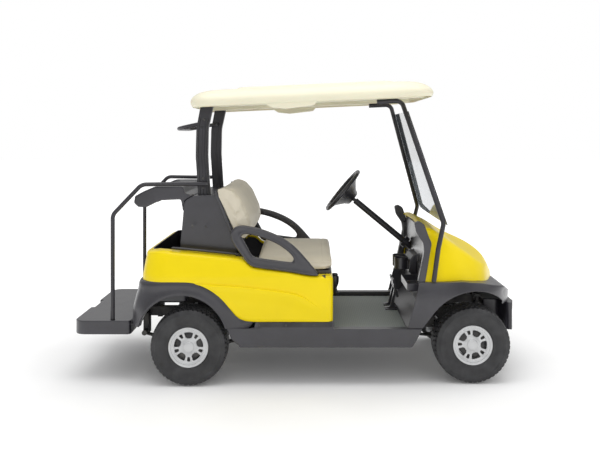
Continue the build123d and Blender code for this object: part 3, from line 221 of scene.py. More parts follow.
def embossed_marine_vinyl(tree, place):
    # PVC-coated fabric embossed with a leather grain (3.3 mm cells): warm beige with a soft
    # satin sheen, slightly darker in the grain's valleys.
    hide = node(tree, "ShaderNodeTexVoronoi", {"Vector": place, "Scale": 300.0}, feature="DISTANCE_TO_EDGE")
    cloud = node(tree, "ShaderNodeTexNoise", {"Vector": place, "Scale": 7.0, "Detail": 4.0})
    dark, light = shades(colour("vinyl"), 0.93, 1.03)
    base = node(tree, "ShaderNodeValToRGB", {"Fac": cloud.outputs["Fac"]},
        stops=[(0.35, dark), (0.65, light)])
    bump = node(tree, "ShaderNodeBump", {"Height": hide.outputs["Distance"], "Strength": 0.35,
        "Distance": 0.0006})
    return node(tree, "ShaderNodeBsdfPrincipled", {
        "Base Color": base.outputs["Color"], "Roughness": 0.47, "IOR": 1.52, "Sheen Weight": 0.15,
        "Sheen Roughness": 0.4, "Normal": bump.outputs["Normal"]})


def rotomoulded_polyethylene(tree, place):
    # Rotationally moulded polyethylene, pigmented ivory: waxy, softly glossy, with a slight
    # ripple (40 mm) left by uneven cooling.
    ripple = node(tree, "ShaderNodeTexNoise", {"Vector": place, "Scale": 24.0, "Detail": 1.0})
    cloud = node(tree, "ShaderNodeTexNoise", {"Vector": place, "Scale": 3.0, "Detail": 3.0})
    dark, light = shades(colour("canopy"), 0.95, 1.0)
    base = node(tree, "ShaderNodeValToRGB", {"Fac": cloud.outputs["Fac"]},
        stops=[(0.35, dark), (0.65, light)])
    bump = node(tree, "ShaderNodeBump", {"Height": ripple.outputs["Fac"], "Strength": 0.12,
        "Distance": 0.002})
    return node(tree, "ShaderNodeBsdfPrincipled", {
        "Base Color": base.outputs["Color"], "Roughness": 0.4, "IOR": 1.54, "Subsurface Weight": 0.05,
        "Subsurface Scale": 0.01, "Normal": bump.outputs["Normal"]})


def cast_acrylic(tree, place):
    # Cast acrylic sheet, smoked grey-blue: what lies behind it shows darker, with crisp reflections
    # and a trace of wiping haze in its roughness.
    haze = node(tree, "ShaderNodeTexNoise", {"Vector": place, "Scale": 12.0, "Detail": 6.0})
    rough = node(tree, "ShaderNodeMapRange", {"Value": haze.outputs["Fac"], "To Min": 0.01, "To Max": 0.03})
    tint = node(tree, "ShaderNodeValToRGB", {"Fac": haze.outputs["Fac"]},
        stops=[(0.3, tone("#7B8389")), (0.7, tone("#828A90"))])
    return node(tree, "ShaderNodeBsdfPrincipled", {
        "Base Color": tint.outputs["Color"], "Roughness": rough.outputs["Result"], "IOR": 1.49,
        "Transmission Weight": 0.96})


def ribbed_mat_rubber(tree, place):
    # Compression-moulded floor mat: mid grey rubber with raised lozenges 17 mm apart, coloured by their
    # height: their tops paler and the gaps between them darker.
    first = node(tree, "ShaderNodeTexWave", {"Vector": place, "Scale": 26.0}, wave_type="BANDS",
        bands_direction="DIAGONAL")
    turned = node(tree, "ShaderNodeMapping", {"Vector": place, "Rotation": (0.0, 0.0, math.pi / 2)})
    second = node(tree, "ShaderNodeTexWave", {"Vector": turned.outputs["Vector"], "Scale": 26.0},
        wave_type="BANDS", bands_direction="DIAGONAL")
    height = node(tree, "ShaderNodeMath", {0: first.outputs["Fac"], 1: second.outputs["Fac"]},
        operation="MULTIPLY")
    base = node(tree, "ShaderNodeValToRGB", {"Fac": height.outputs["Value"]},
        stops=[(0.0, tone("#6E7474")), (0.5, tone("#979F9F"))])
    bump = node(tree, "ShaderNodeBump", {"Height": height.outputs["Value"], "Strength": 0.6,
        "Distance": 0.0015})
    return node(tree, "ShaderNodeBsdfPrincipled", {
        "Base Color": base.outputs["Color"], "Roughness": 0.62, "IOR": 1.52,
        "Normal": bump.outputs["Normal"]})


def moulded_battery_case(tree, place):
    # Injection-moulded battery case, pigmented teal: semi-gloss with dust on its top.
    dust = node(tree, "ShaderNodeTexNoise", {"Vector": place, "Scale": 20.0, "Detail": 6.0})
    base = node(tree, "ShaderNodeValToRGB", {"Fac": dust.outputs["Fac"]},
        stops=[(0.4, tone("#1F6E74")), (0.8, tone("#5F8C8C"))])
    return node(tree, "ShaderNodeBsdfPrincipled", {"Base Color": base.outputs["Color"], "Roughness": 0.42,
        "IOR": 1.54})


def studio_cyclorama(tree, place):
    # Matt white painted studio floor, faintly mottled. It is painted light: it glows by its own emission,
    # faintly near the cart and brightly away from it.
    mottle = node(tree, "ShaderNodeTexNoise", {"Vector": place, "Scale": 2.0, "Detail": 2.0})
    base = node(tree, "ShaderNodeValToRGB", {"Fac": mottle.outputs["Fac"]},
        stops=[(0.3, tone("#F6F6F6")), (0.7, tone("#FAFAFA"))])
    reach = node(tree, "ShaderNodeVectorMath", {0: place}, operation="LENGTH")
    # painted light: the floor's emission grows with the distance from the cart's middle
    glow = node(tree, "ShaderNodeMapRange", {
        "Value": reach.outputs["Value"], "From Min": 1.4, "From Max": 3.2, "To Min": 0.06, "To Max": 0.5},
        interpolation_type="SMOOTHSTEP")
    return node(tree, "ShaderNodeBsdfPrincipled", {
        "Base Color": base.outputs["Color"], "Roughness": 0.9, "Specular IOR Level": 0.1,
        "Emission Color": (1.0, 1.0, 1.0, 1.0), "Emission Strength": glow.outputs["Result"]})


def finish(recipe):
    """The material that a recipe describes, made the first time it is asked for."""
    name = recipe.__name__
    if name in bpy.data.materials:
        return bpy.data.materials[name]
    made = bpy.data.materials.new(name)
    made.use_nodes = True
    tree = made.node_tree
    tree.nodes.clear()
    place = node(tree, "ShaderNodeTexCoord").outputs["Object"]
    shader = recipe(tree, place)
    node(tree, "ShaderNodeOutputMaterial", {"Surface": shader.outputs["BSDF"]})
    return made


def dress(obj, recipe):
    obj.data.materials.clear()
    obj.data.materials.append(finish(recipe))


# ------------------------------------------------------------------ mesh tools
def link(name, mesh, body, *nodes, recipe=None):
    """Puts a mesh into the scene on a body, in place of the CAD nodes named."""
    obj = bpy.data.objects.new(name, mesh)
    bpy.context.scene.collection.objects.link(obj)
    if recipe:
        dress(obj, recipe)
    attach(obj, body)
    if nodes:
        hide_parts(*nodes)
    return obj


def sheet_of(rows, ring=False, closed=False):
    """Bmesh of quads through rows of points: ring joins each row's ends, closed joins last row to first."""
    bm = bmesh.new()
    verts = [[bm.verts.new(point) for point in row] for row in rows]
    count = len(rows[0])
    for i in range(len(rows) if closed else len(rows) - 1):
        for j in range(count if ring else count - 1):
            low, high = verts[i], verts[(i + 1) % len(rows)]
            bm.faces.new((low[j], low[(j + 1) % count], high[(j + 1) % count], high[j]))
    return bm


def to_mesh(name, bm, sharp=35.0, merge=0.0):
    """Mesh of a bmesh with outward normals, smooth except over edges sharper than an angle."""
    if merge:
        bmesh.ops.remove_doubles(bm, verts=bm.verts, dist=merge)
        bmesh.ops.dissolve_degenerate(bm, edges=bm.edges, dist=merge)
    bmesh.ops.recalc_face_normals(bm, faces=bm.faces)
    for face in bm.faces:
        face.smooth = True
    for edge in bm.edges:
        edge.smooth = edge.calc_face_angle(0.0) < math.radians(sharp)
    mesh = bpy.data.meshes.new(name)
    bm.to_mesh(mesh)
    bm.free()
    return mesh


def apply_modifiers(obj):
    """Leaves the object with the mesh that its modifiers make."""
    depsgraph = bpy.context.evaluated_depsgraph_get()
    made = bpy.data.meshes.new_from_object(obj.evaluated_get(depsgraph))
    obj.modifiers.clear()
    obj.data = made
    return obj


def add(obj, kind, **settings):
    """Adds one modifier with its settings."""
    made = obj.modifiers.new(kind.lower(), kind)
    for key, value in settings.items():
        setattr(made, key, value)
    return made


def smoothstep(value, low, high):
    t = min(max((value - low) / (high - low), 0.0), 1.0)
    return t * t * (3.0 - 2.0 * t)


def turned_rows(profile, centre, side, steps, start=0.0):
    """Rows of points of an (r, outward) profile turned about a wheel's axle."""
    rows = []
    for r, out in profile:
        row = []
        for k in range(steps):
            a = start + 2 * math.pi * k / steps
            row.append((centre[0] + r * math.cos(a), centre[1] + side * out, centre[2] + r * math.sin(a)))
        rows.append(row)
    return rows


# ------------------------------------------------------------------ wheels
WHEEL_TURN = {"front_left": 20.0, "front_right": 70.0, "rear_left": 50.0, "rear_right": 90.0}
TREAD_STEPS = 240
TREAD_DEPTH = 0.0055               # m
SHALLOW_CUT = 0.55                 # depth of the cuts in the shoulder and middle rib, as a share
SIDEWALL = [  # radius and distance out from the tyre's middle plane, mm
    (103, 83), (118, 85.0), (120, 89), (123.5, 91), (127, 90), (129, 90.5), (138, 96), (150, 101.5),
    (163, 104.1), (176, 103.8), (186, 102.6), (189, 103.4), (191, 103.4), (193, 101.6), (200, 99.6),
    (205, 97.4)]
TREAD = [  # distance out from the tyre's middle plane, radius, mm, and zone
    (96, 206, 0), (95, 211, 0), (92, 216, 0), (88, 219, 1), (84, 220.5, 1), (66, 223, 1), (65, 223, 2),
    (59, 223.4, 2), (58, 223.6, 3), (46, 224.4, 3), (34, 225.2, 3), (33, 225.2, 2), (26, 225.4, 2),
    (25, 225.5, 4), (12, 225.9, 4), (1.6, 226, 4), (1.2, 226, 2), (-1.2, 226, 2)]


def tread_radius(r, zone, step, outward):
    """Radius of the tread at one step round: ribs cut into blocks by staggered cross grooves.
    The zones are 0 the shoulder, 1 the outer rib, 2 a groove, 3 the inner rib and 4 the middle rib."""
    phase = (step + (2 if outward < 0 else 0)) % 5
    cut = zone == 2 or (zone in (0, 1) and phase == 0) or (zone == 3 and phase == 2)
    if zone == 4:
        cut = step % 10 == (3 if outward > 0 else 8)
    depth = TREAD_DEPTH / MM * (SHALLOW_CUT if zone in (0, 4) else 1.0)
    return (r - depth if cut else r) * MM


def tyre_mesh(name, low, high, side):
    """Tubeless tyre: plain sidewalls with a rim guard, and a tread of staggered blocks."""
    centre = [(a + b) / 2 for a, b in zip(low, high)]
    across = [(out, r, zone) for out, r, zone in TREAD]
    across += [(-out, r, zone) for out, r, zone in reversed(TREAD[:-1])][1:]
    rows = turned_rows([(r * MM, out * MM) for r, out in SIDEWALL], centre, side, TREAD_STEPS)
    for out, r, zone in across:
        row = []
        for k in range(TREAD_STEPS):
            a = 2 * math.pi * k / TREAD_STEPS
            radius = tread_radius(r, zone, k, out)
            row.append((centre[0] + radius * math.cos(a), centre[1] + side * out * MM,
                        centre[2] + radius * math.sin(a)))
        rows.append(row)
    rows += turned_rows([(r * MM, -out * MM) for r, out in reversed(SIDEWALL)], centre, side, TREAD_STEPS)
    return to_mesh(name, sheet_of(rows, ring=True, closed=True), sharp=40.0)


class CART_OT_tyres(bpy.types.Operator):
    """Tyres with block tread and plain sidewalls"""

    bl_idname = "cart.tyres"
    bl_label = "Tyres"

    def execute(self, context):
        for wheel in WHEEL_TURN:
            low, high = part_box(f"tyre_{wheel}")
            side = 1 if wheel.endswith("left") else -1
            name = f"treaded_tyre_{wheel}"
            obj = link(name, tyre_mesh(name, low, high, side), f"wheel_{wheel}", f"tyre_{wheel}",
                       recipe=vulcanised_rubber)
        return {"FINISHED"}


RIM_COLUMNS = 60
DISC_RINGS = [  # radius and distance behind the rim's outer edge, mm
    (26, 9), (34, 10), (40, 12), (46, 15), (50, 16.5), (55, 17), (61, 17), (68, 17), (76, 16.5), (84, 15.5),
    (88, 12.5), (92, 10), (100, 8), (107, 6), (112, 3.5), (114.5, 1.2)]
BARREL = [  # radius and distance behind the rim's outer edge, mm
    (114.0, 2), (116.0, 0), (116.0, 3.5), (104, 4.5), (101.6, 10), (101.6, 34), (87.6, 50), (87.6, 128),
    (101.6, 144), (101.6, 172), (115.5, 174), (115.8, 178), (112, 177.6), (98, 174), (97, 144), (83.6, 127),
    (83.6, 51), (97, 32), (97, 12), (104, 9)]
RIM_EDGE = 89.0                    # the rim's outer edge from the tyre's middle plane, mm
DISC_GAUGE = 0.0045                # sheet of the disc, m
CAP_BACK = 5.0                     # the cap's datum behind the rim's edge, mm
CAP = [  # radius and distance behind the cap's datum, mm
    (0.5, -2.4), (12, -2.2), (22, -1.4), (24, -0.6), (26, -0.6), (30, 0.8), (33, 4), (35, 9), (35, 12),
    (0.5, 12)]
DRUM = [  # radius and distance behind the rim's edge of the brake drum, mm
    (30, 22), (52, 22), (80, 30), (81, 62), (78, 66), (33, 66), (32, 90)]
STUB = {"front": 118.0, "rear": 239.0}     # inner end of the hub behind the rim's edge, mm
BORE = {"front": 12.8, "rear": 13.8}       # radius of the hub's bore, mm
LINER = 40.0                               # where the front hub's bore ends, mm


def hub_profile(end):
    """Drum and hub of one axle end: the rear one runs down its shaft, the front one is open."""
    bore, stub = BORE[end], STUB[end]
    profile = [*DRUM, (bore, STUB["front"])]
    if end == "rear":
        return [*profile, (bore, stub), (0.5, stub)]
    return [*profile, (bore - 0.2, stub), (bore - 0.2, LINER)]


def window_open(column, ring):
    """Whether the disc is open at a column from 0 to 11 and a ring: a broad window, then a slot."""
    from_broad = min(column, 11 - column)          # faces 0..2 and 9..11 lie on the broad window
    from_slot = abs(column - 5.5)
    radius = (DISC_RINGS[ring][0] + DISC_RINGS[ring + 1][0]) / 2
    if from_broad <= 2:
        reach = 2 if 55 < radius < 84 else 1
        return 50 < radius < 84 and from_broad <= reach
    return from_slot < 1 and 61 < radius < 84


def wheel_disc(name, centre, side, turn):
    """Pressed disc with five broad windows and five slots, open between its spokes."""
    rings = [(r * MM, (RIM_EDGE - back) * MM) for r, back in DISC_RINGS]
    rows = turned_rows(rings, centre, side, RIM_COLUMNS, math.radians(turn))
    bm = bmesh.new()
    verts = [[bm.verts.new(point) for point in row] for row in rows]
    for ring in range(len(rows) - 1):
        for k in range(RIM_COLUMNS):
            if not window_open(k % 12, ring):
                after = (k + 1) % RIM_COLUMNS
                bm.faces.new((verts[ring][k], verts[ring][after], verts[ring + 1][after], verts[ring + 1][k]))
    bmesh.ops.delete(bm, geom=[v for v in bm.verts if not v.link_faces], context="VERTS")
    return to_mesh(name, bm, sharp=80.0)


class CART_OT_rims(bpy.types.Operator):
    """Pressed steel wheels with windowed discs, domed caps, hubs and drums"""

    bl_idname = "cart.rims"
    bl_label = "Wheel rims"

    def execute(self, context):
        for wheel, turn in WHEEL_TURN.items():
            low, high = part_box(f"tyre_{wheel}")
            centre = [(a + b) / 2 for a, b in zip(low, high)]
            side = 1 if wheel.endswith("left") else -1
            body = f"wheel_{wheel}"
            disc = link(f"wheel_disc_{wheel}", wheel_disc(f"wheel_disc_{wheel}", centre, side, turn), body,
                        f"rim_{wheel}", recipe=silver_painted_steel)
            inward = -1.0 if disc.data.polygons[0].normal.y * side > 0 else 1.0
            add(disc, "SOLIDIFY", thickness=DISC_GAUGE, offset=inward)
            add(disc, "SUBSURF", levels=1, render_levels=1)
            apply_modifiers(disc)
            barrel = turned_rows([(r * MM, (RIM_EDGE - back) * MM) for r, back in BARREL], centre, side, 96)
            name = f"rim_barrel_{wheel}"
            obj = link(name, to_mesh(name, sheet_of(barrel, ring=True, closed=True), sharp=50.0), body,
                       recipe=silver_painted_steel)
            cap = [(r * MM, (RIM_EDGE - CAP_BACK - back) * MM) for r, back in CAP]
            cap = turned_rows(cap, centre, side, 60)
            name = f"wheel_cap_{wheel}"
            obj = link(name, to_mesh(name, sheet_of(cap, ring=True), sharp=50.0, merge=0.0012), body,
                       recipe=silver_painted_steel)
            hub = [(r * MM, (RIM_EDGE - back) * MM) for r, back in hub_profile(wheel.split("_")[0])]
            hub = turned_rows(hub, centre, side, 60)
            name = f"brake_drum_{wheel}"
            obj = link(name, to_mesh(name, sheet_of(hub, ring=True), sharp=40.0, merge=0.0004), body,
                       recipe=enamelled_chassis_steel)
        return {"FINISHED"}


# ------------------------------------------------------------------ body side, fender and sill
ARCH_CENTRE = (-40.0, 265.0)       # of the rear wheel arch, drawing millimetres
ARCH_R = 264.0                     # and its radius
BODY_PLAN = [  # z, rear end, front end, half width, rear and front corner radius
    (300, -298, 842, 578, 150, 40), (470, -296, 842, 590, 150, 40), (640, -288, 842, 584, 150, 40),
    (800, -262, 842, 560, 150, 40)]
FENDER_PLAN = [  # the same for the dark moulding below it
    (280, -352, 842, 580, 130, 20), (440, -350, 842, 596, 140, 20), (607, -306, 842, 588, 150, 20)]
BODY_TOP = [  # (x, z) along the body's upper edge
    (-300, 776), (-205, 786), (-60, 773), (270, 744.5), (300, 743), (312, 740), (322, 735), (334, 725),
    (346, 712), (360, 700.5), (378, 691.5), (400, 688), (448, 680), (523, 670.5), (573, 664.5), (673, 647),
    (700, 643), (742, 640), (842, 640)]
BODY_LOW = [  # (x, z) along its lower edge, round the wheel arch
    (-300, 607), (-60, 607), (0, 605.5), (41, 600), (90, 583), (135, 559), (180, 524), (220, 482),
    (252, 441), (276, 412), (300, 394), (330, 382), (378, 377), (842, 377)]
CREASE = [  # (x, z) along the stepped crease
    (-300, 606), (82, 597), (300, 584), (500, 562), (600, 546), (650, 532), (690, 512), (720, 490),
    (750, 466), (780, 452), (842, 446)]
WELL = (-232.0, 806.0)             # the deck's inner ends
DECK_IN = (455.0, 416.0, 498.0)    # the deck's inner edge beside the bag well, the shroud and the seat
DECK_STEPS = (-28.0, 262.0)        # where the deck's inner edge changes
ROLL = 24.0                        # radius of the body's rolled top edge
DECK_LIP = 14.0                    # how far the deck turns down at its inner edge
SKIN = 0.004                       # thickness of the yellow skin, m
FENDER_SKIN = 0.005                # and of the dark moulding
CORNER_STEPS = 14                  # columns round a rear corner


def along(table, x):
    """Height at x of the broken line through a table of (x, z) points."""
    if x <= table[0][0]:
        return table[0][1]
    for (x0, z0), (x1, z1) in zip(table, table[1:]):
        if x <= x1:
            return z0 + (z1 - z0) * (x - x0) / (x1 - x0)
    return table[-1][1]


def plan_at(table, z):
    """Plan sizes at a height, between the rows of a table."""
    if z <= table[0][0]:
        return table[0][1:]
    for low, high in zip(table, table[1:]):
        if z <= high[0]:
            t = (z - low[0]) / (high[0] - low[0])
            return [a + (b - a) * t for a, b in zip(low[1:], high[1:])]
    return table[-1][1:]


def round_plan(spot, table, z, proud=0.0):
    """Point on the left half of a rounded plan. spot is (run, share): the front face, the front
    corner, the side (share is then x), the rear corner or the tail."""
    rear, front, half, r_rear, r_front = plan_at(table, z)
    half, front, rear = half + proud, front + proud, rear - proud
    run, share = spot
    if run == "front":
        return front, share * (half - r_front)
    if run == "front_corner":
        a = share * math.pi / 2
        return front - r_front + r_front * math.cos(a), half - r_front + r_front * math.sin(a)
    if run == "side":
        return share, half
    if run == "rear_corner":
        a = share * math.pi / 2
        return rear + r_rear - r_rear * math.sin(a), half - r_rear + r_rear * math.cos(a)
    return rear, (1.0 - share) * (half - r_rear)


def plan_spots(sides, front=8, tail=8):
    """Places round the left half of a plan, from the middle of the front to the middle of the tail."""
    spots = [("front", k / front) for k in range(front)]
    spots += [("front_corner", k / 8) for k in range(9)]
    spots += [("side", x) for x in sides]
    spots += [("rear_corner", k / CORNER_STEPS) for k in range(CORNER_STEPS + 1)]
    return spots + [("tail", (k + 1) / tail) for k in range(tail)]


def drawn(x, y, z):
    """Frame point of a drawing point in millimetres."""
    return (x * MM + REAR_AXLE_X * MM, y * MM, z * MM)


def mirrored(bm, merge=0.0004):
    """Adds the other half, across the middle plane, and joins the two."""
    made = bmesh.ops.duplicate(bm, geom=bm.verts[:] + bm.edges[:] + bm.faces[:])
    twins = [item for item in made["geom"] if isinstance(item, bmesh.types.BMVert)]
    for vert in twins:
        vert.co.y = -vert.co.y
    bmesh.ops.reverse_faces(bm, faces=[item for item in made["geom"] if isinstance(item, bmesh.types.BMFace)])
    bmesh.ops.remove_doubles(bm, verts=bm.verts, dist=merge)
    return bm


def crease_step(x, z):
    """How far the body side stands proud at a point: it steps out just under the crease line."""
    line = along(CREASE, x)
    step = sizes().crease / MM * (1.0 - smoothstep(x, 640.0, 790.0)) * smoothstep(x, -250.0, -120.0)
    return step * smoothstep(line - z, 0.0, 3.0) * (1.0 - smoothstep(line - z, 20.0, 90.0))


def body_rows(spot):
    """Points up the body skin at one spot of its plan, from its lower edge over the top to the deck."""
    guess = round_plan(spot, BODY_PLAN, 560.0)[0]
    low, top = along(BODY_LOW, guess), along(BODY_TOP, guess)
    line = along(CREASE, guess)
    heights = [low + (line - 30 - low) * k / 8 for k in range(8)] if line - 30 > low + 10 else [low] * 8
    start = max(line - 30, low)
    heights += [start + (max(line, low + 1) - start) * k for k in (0, 0.25, 0.5, 0.7, 0.84, 0.9, 0.95)]
    heights += [max(line, low + 1) + d for d in (0.0, 0.5, 2.0, 5.0, 12.0)]
    base = heights[-1]
    heights += [base + (top - ROLL - base) * (k + 1) / 8 for k in range(8)]
    points = []
    for z in heights:
        x, y = round_plan(spot, BODY_PLAN, z, crease_step(guess, z))
        points.append((x, y, z))
    edge = round_plan(spot, BODY_PLAN, top - ROLL)
    inner_x = min(max(edge[0], WELL[0]), WELL[1])
    beside = sum(inner_x >= step for step in DECK_STEPS)
    inner_y = min(edge[1], DECK_IN[beside])
    for k in range(1, 9):
        a = k / 8 * math.pi / 2
        inset = ROLL * (1 - math.cos(a))
        x, y = round_plan(spot, BODY_PLAN, top - ROLL, -inset)
        points.append((x, max(y, 0.0), top - ROLL + ROLL * math.sin(a)))
    x, y, z = points[-1]
    for t in (0.3, 0.7, 1.0):
        points.append((x + (inner_x - x) * t, y + (inner_y - y) * t, top))
    points.append((points[-1][0], points[-1][1], top - DECK_LIP))
    return points


def body_mesh(name):
    sides = [798 - 19 * k for k in range(24)]
    sides += [345, 334, 322, 314, 306, 300, 297, 292, 288, 284, 277, 270, 262.5, 261.5, 250]
    sides += [232 - 18 * k for k in range(14)] + [-22, -27, -29, -45, -60, -80, -95, -108]
    columns = [body_rows(spot) for spot in plan_spots(sides)]
    bm = sheet_of([[drawn(*point) for point in column] for column in columns])
    for vert in bm.verts:
        if abs(vert.co.y) < 1e-6:
            vert.co.y = 0.0
    return to_mesh(name, mirrored(bm), sharp=42.0, merge=0.0002)


FENDER_TOP = [  # (x, z) along the moulding's upper edge, from the sill rearward
    (378, 376.7), (354, 378.7), (330, 381.7), (300, 393.7), (276, 411.7), (252, 440.7), (220, 481.7),
    (180, 523.7), (135, 558.7), (90, 582.7), (41, 599.7), (0, 605.2), (-60, 606.7), (-110, 606.7),
    (-150, 606.7), (-186, 606.7), (-214, 606.7), (-236, 606.7), (-256, 606.7), (-276, 606.7), (-300, 606.7)]
ARCH_ANGLES = [  # where the column below each of those points meets the wheel arch, degrees; none at the sill
    None, 15.3, 18, 22, 27, 33, 40, 48, 57, 66, 75, 84, 93, 101, 109, 117, 126, 136, 147, 156, 163.7]


def unrolled(s, z, table, proud=0.0):
    """Point of the left half of a plan at the run s: s is x on the side, and goes on round the rear."""
    rear, _, half, r, _ = plan_at(table, z)
    half, rear = half + proud, rear - proud
    bend = rear + r
    if s >= bend:
        return s, half
    a = (bend - s) / r
    if a < math.pi / 2:
        return bend - r * math.sin(a), half - r + r * math.cos(a)
    return rear, max(half - r - (bend - s - r * math.pi / 2), 0.0)


def run_at(x, z, table):
    """Run s of the point of a plan that lies at x."""
    rear, _, _, r, _ = plan_at(table, z)
    bend = rear + r
    return x if x >= bend else bend - r * math.asin(min((bend - x) / r, 1.0))


def fender_columns():
    """Runs and heights of the moulding's upper and lower edge, from the sill to the middle of the tail."""
    columns = []
    for (x, z), angle in zip(FENDER_TOP, ARCH_ANGLES):
        low = (350.0, 339.0)
        if angle is not None:
            a = math.radians(angle)
            low = (ARCH_CENTRE[0] + ARCH_R * math.cos(a), ARCH_CENTRE[1] + ARCH_R * math.sin(a))
        columns.append((x, z, run_at(low[0], low[1], FENDER_PLAN), low[1]))
    ends = []
    for z in (606.7, 339.0):
        rear, _, half, r, _ = plan_at(FENDER_PLAN, z)
        ends.append(rear + r - r * math.pi / 2 - (half - r))
    s_top, s_low = columns[-1][0], columns[-1][2]
    for k in range(1, 25):
        t = k / 24
        columns.append((s_top + (ends[0] - s_top) * t, 606.7, s_low + (ends[1] - s_low) * t, 339.0))
    return columns


def fender_mesh(name):
    """Dark moulding over the rear wheels and round the tail, with a rounded shoulder and a rolled lip."""
    rows = []
    shares = [0.0, 0.02, 0.05, 0.09, 0.15, 0.24, 0.35, 0.46, 0.57, 0.68, 0.78, 0.86, 0.91, 0.95, 0.98, 1.0]
    for s_top, z_top, s_low, z_low in fender_columns():
        column = []
        depth = max(z_top - z_low, 30.0)
        for t in shares:
            s, z = s_top + (s_low - s_top) * t, z_top + (z_low - z_top) * t
            down, up = t * depth, (1.0 - t) * depth
            proud = -7.0 * (1.0 - smoothstep(down, -8.0, 16.0)) - 5.0 * (1.0 - smoothstep(up, -4.0, 9.0))
            hollow = -4.0 * smoothstep(down, 16.0, 60.0) * smoothstep(up, 10.0, 60.0)
            x, y = unrolled(s, z, FENDER_PLAN, proud + hollow)
            column.append(drawn(x, y, z))
        for inset, rise in ((8.0, 0.0), (13.0, 1.5), (30.0, 2.0)):
            x, y = unrolled(s_low, z_low, FENDER_PLAN, -inset)
            column.append(drawn(x, y, z_low + rise))
        rows.append(column)
    for point in range(len(rows[-1])):
        x, _, z = rows[-1][point]
        rows[-1][point] = (x, 0.0, z)
    return to_mesh(name, mirrored(sheet_of(rows)), sharp=45.0, merge=0.0002)


BUMPER_BAND = (420.0, 95.0)        # height of the bumper's middle, and half of its own height
BUMPER_BOW = (3.0, 9.0)            # how far its middle is drawn back, and its edges beyond that
BUMPER_TOP = (505.0, 545.0)        # heights between which the bow fades out
BUMPER_FACE = (1840.0, 1925.0)     # and the x between which it comes in
SILL_FOOT = [  # (x, z) of the sill's rounded foot, just ahead of the rear wheel arch
    (226, 340), (236, 306), (252, 276), (276, 250), (306, 234), (340, 230), (430, 230), (430, 340)]
SILL_PLANES = (540.0, 584.0)       # its inner and outer face


def prism(bm, outline, near, far, placed=Matrix()):
    """Adds a straight slab of an (x, z) outline between two lateral planes."""
    faces = []
    for y in (near, far):
        faces.append([bm.verts.new(placed @ Vector(drawn(x, y, z))) for x, z in outline])
    first, second = faces
    bm.faces.new(first)
    bm.faces.new(list(reversed(second)))
    for k in range(len(outline)):
        after = (k + 1) % len(outline)
        bm.faces.new((first[after], first[k], second[k], second[after]))
    bmesh.ops.recalc_face_normals(bm, faces=bm.faces)


def bowed_nose(point, facing):
    """Bows the bumper's front face only: its upper and lower edges are drawn back further than its middle."""
    x, z = point.x / MM - REAR_AXLE_X, point.z / MM
    middle, half = BUMPER_BAND
    least, more = BUMPER_BOW
    back = facing * (least + more * min(((z - middle) / half) ** 2, 1.0)) * (1.0 - smoothstep(z, *BUMPER_TOP))
    return Vector((point.x - back * MM * smoothstep(x, *BUMPER_FACE), point.y, point.z))


def moulded(name, source, body, recipe, voxel=3.0, rounds=6, keep=0.5):
    """A CAD solid redrawn with rounded edges, as it comes out of its mould: an even mesh of voxel mm,
    relaxed, then thinned to a share of its faces."""
    obj = link(name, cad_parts[source].data.copy(), body, source)
    obj.matrix_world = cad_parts[source].matrix_world.copy()
    if source == "sills":
        bm = bmesh.new()
        bm.from_mesh(obj.data)
        for side in (1, -1):
            prism(bm, SILL_FOOT, side * SILL_PLANES[0], side * SILL_PLANES[1], obj.matrix_world.inverted())
        bm.to_mesh(obj.data)
        bm.free()
    add(obj, "REMESH", mode="VOXEL", voxel_size=voxel * MM, use_smooth_shade=True)
    if source == "front_fender":
        apply_modifiers(obj)
        facing = [smoothstep(vert.normal.x, 0.2, 0.7) for vert in obj.data.vertices]
        for vert, share in zip(obj.data.vertices, facing):
            vert.co = obj.matrix_world.inverted() @ bowed_nose(obj.matrix_world @ vert.co, share)
    add(obj, "SMOOTH", factor=0.5, iterations=rounds)
    add(obj, "DECIMATE", ratio=keep)
    apply_modifiers(obj)
    for face in obj.data.polygons:
        face.use_smooth = True
    dress(obj, recipe)
    return obj


class CART_OT_body(bpy.types.Operator):
    """Yellow body skin with a stepped crease and a rolled top edge"""

    bl_idname = "cart.body"
    bl_label = "Body side"

    def execute(self, context):
        obj = link("body_skin", body_mesh("body_skin"), "chassis", "rear_body", recipe=painted_body_panel)
        obj.data.materials.append(finish(moulded_polypropylene))  # the bare plastic inside
        add(obj, "SOLIDIFY", thickness=SKIN, offset=-1.0, material_offset=1)
        apply_modifiers(obj)
        obj = link("rear_fender_moulding", fender_mesh("rear_fender_moulding"), "chassis", "rear_fender",
                   recipe=moulded_polypropylene)
        add(obj, "SOLIDIFY", thickness=FENDER_SKIN, offset=-1.0)
        apply_modifiers(obj)
        return {"FINISHED"}


class CART_OT_mouldings(bpy.types.Operator):
    """Charcoal mouldings with rounded edges: sills, bag rack, step, shroud, front fender, dash and struts"""

    bl_idname = "cart.mouldings"
    bl_label = "Mouldings"

    def execute(self, context):
        for source, voxel, rounds, keep in [
            ("sills", 3.0, 8, 0.13), ("bag_rack", 4.0, 10, 0.4), ("rear_step", 2.8, 5, 0.12),
            ("seat_shroud", 2.6, 5, 0.11), ("front_fender", 2.6, 8, 0.14), ("dashboard", 2.8, 6, 0.17),
        ]:
            moulded(f"{source}_moulding", source, "chassis", moulded_polypropylene, voxel, rounds, keep)
        moulded("rear_strut_covers", "rear_struts", "chassis", powder_coated_steel, 2.4, 4, 0.16)
        return {"FINISHED"}


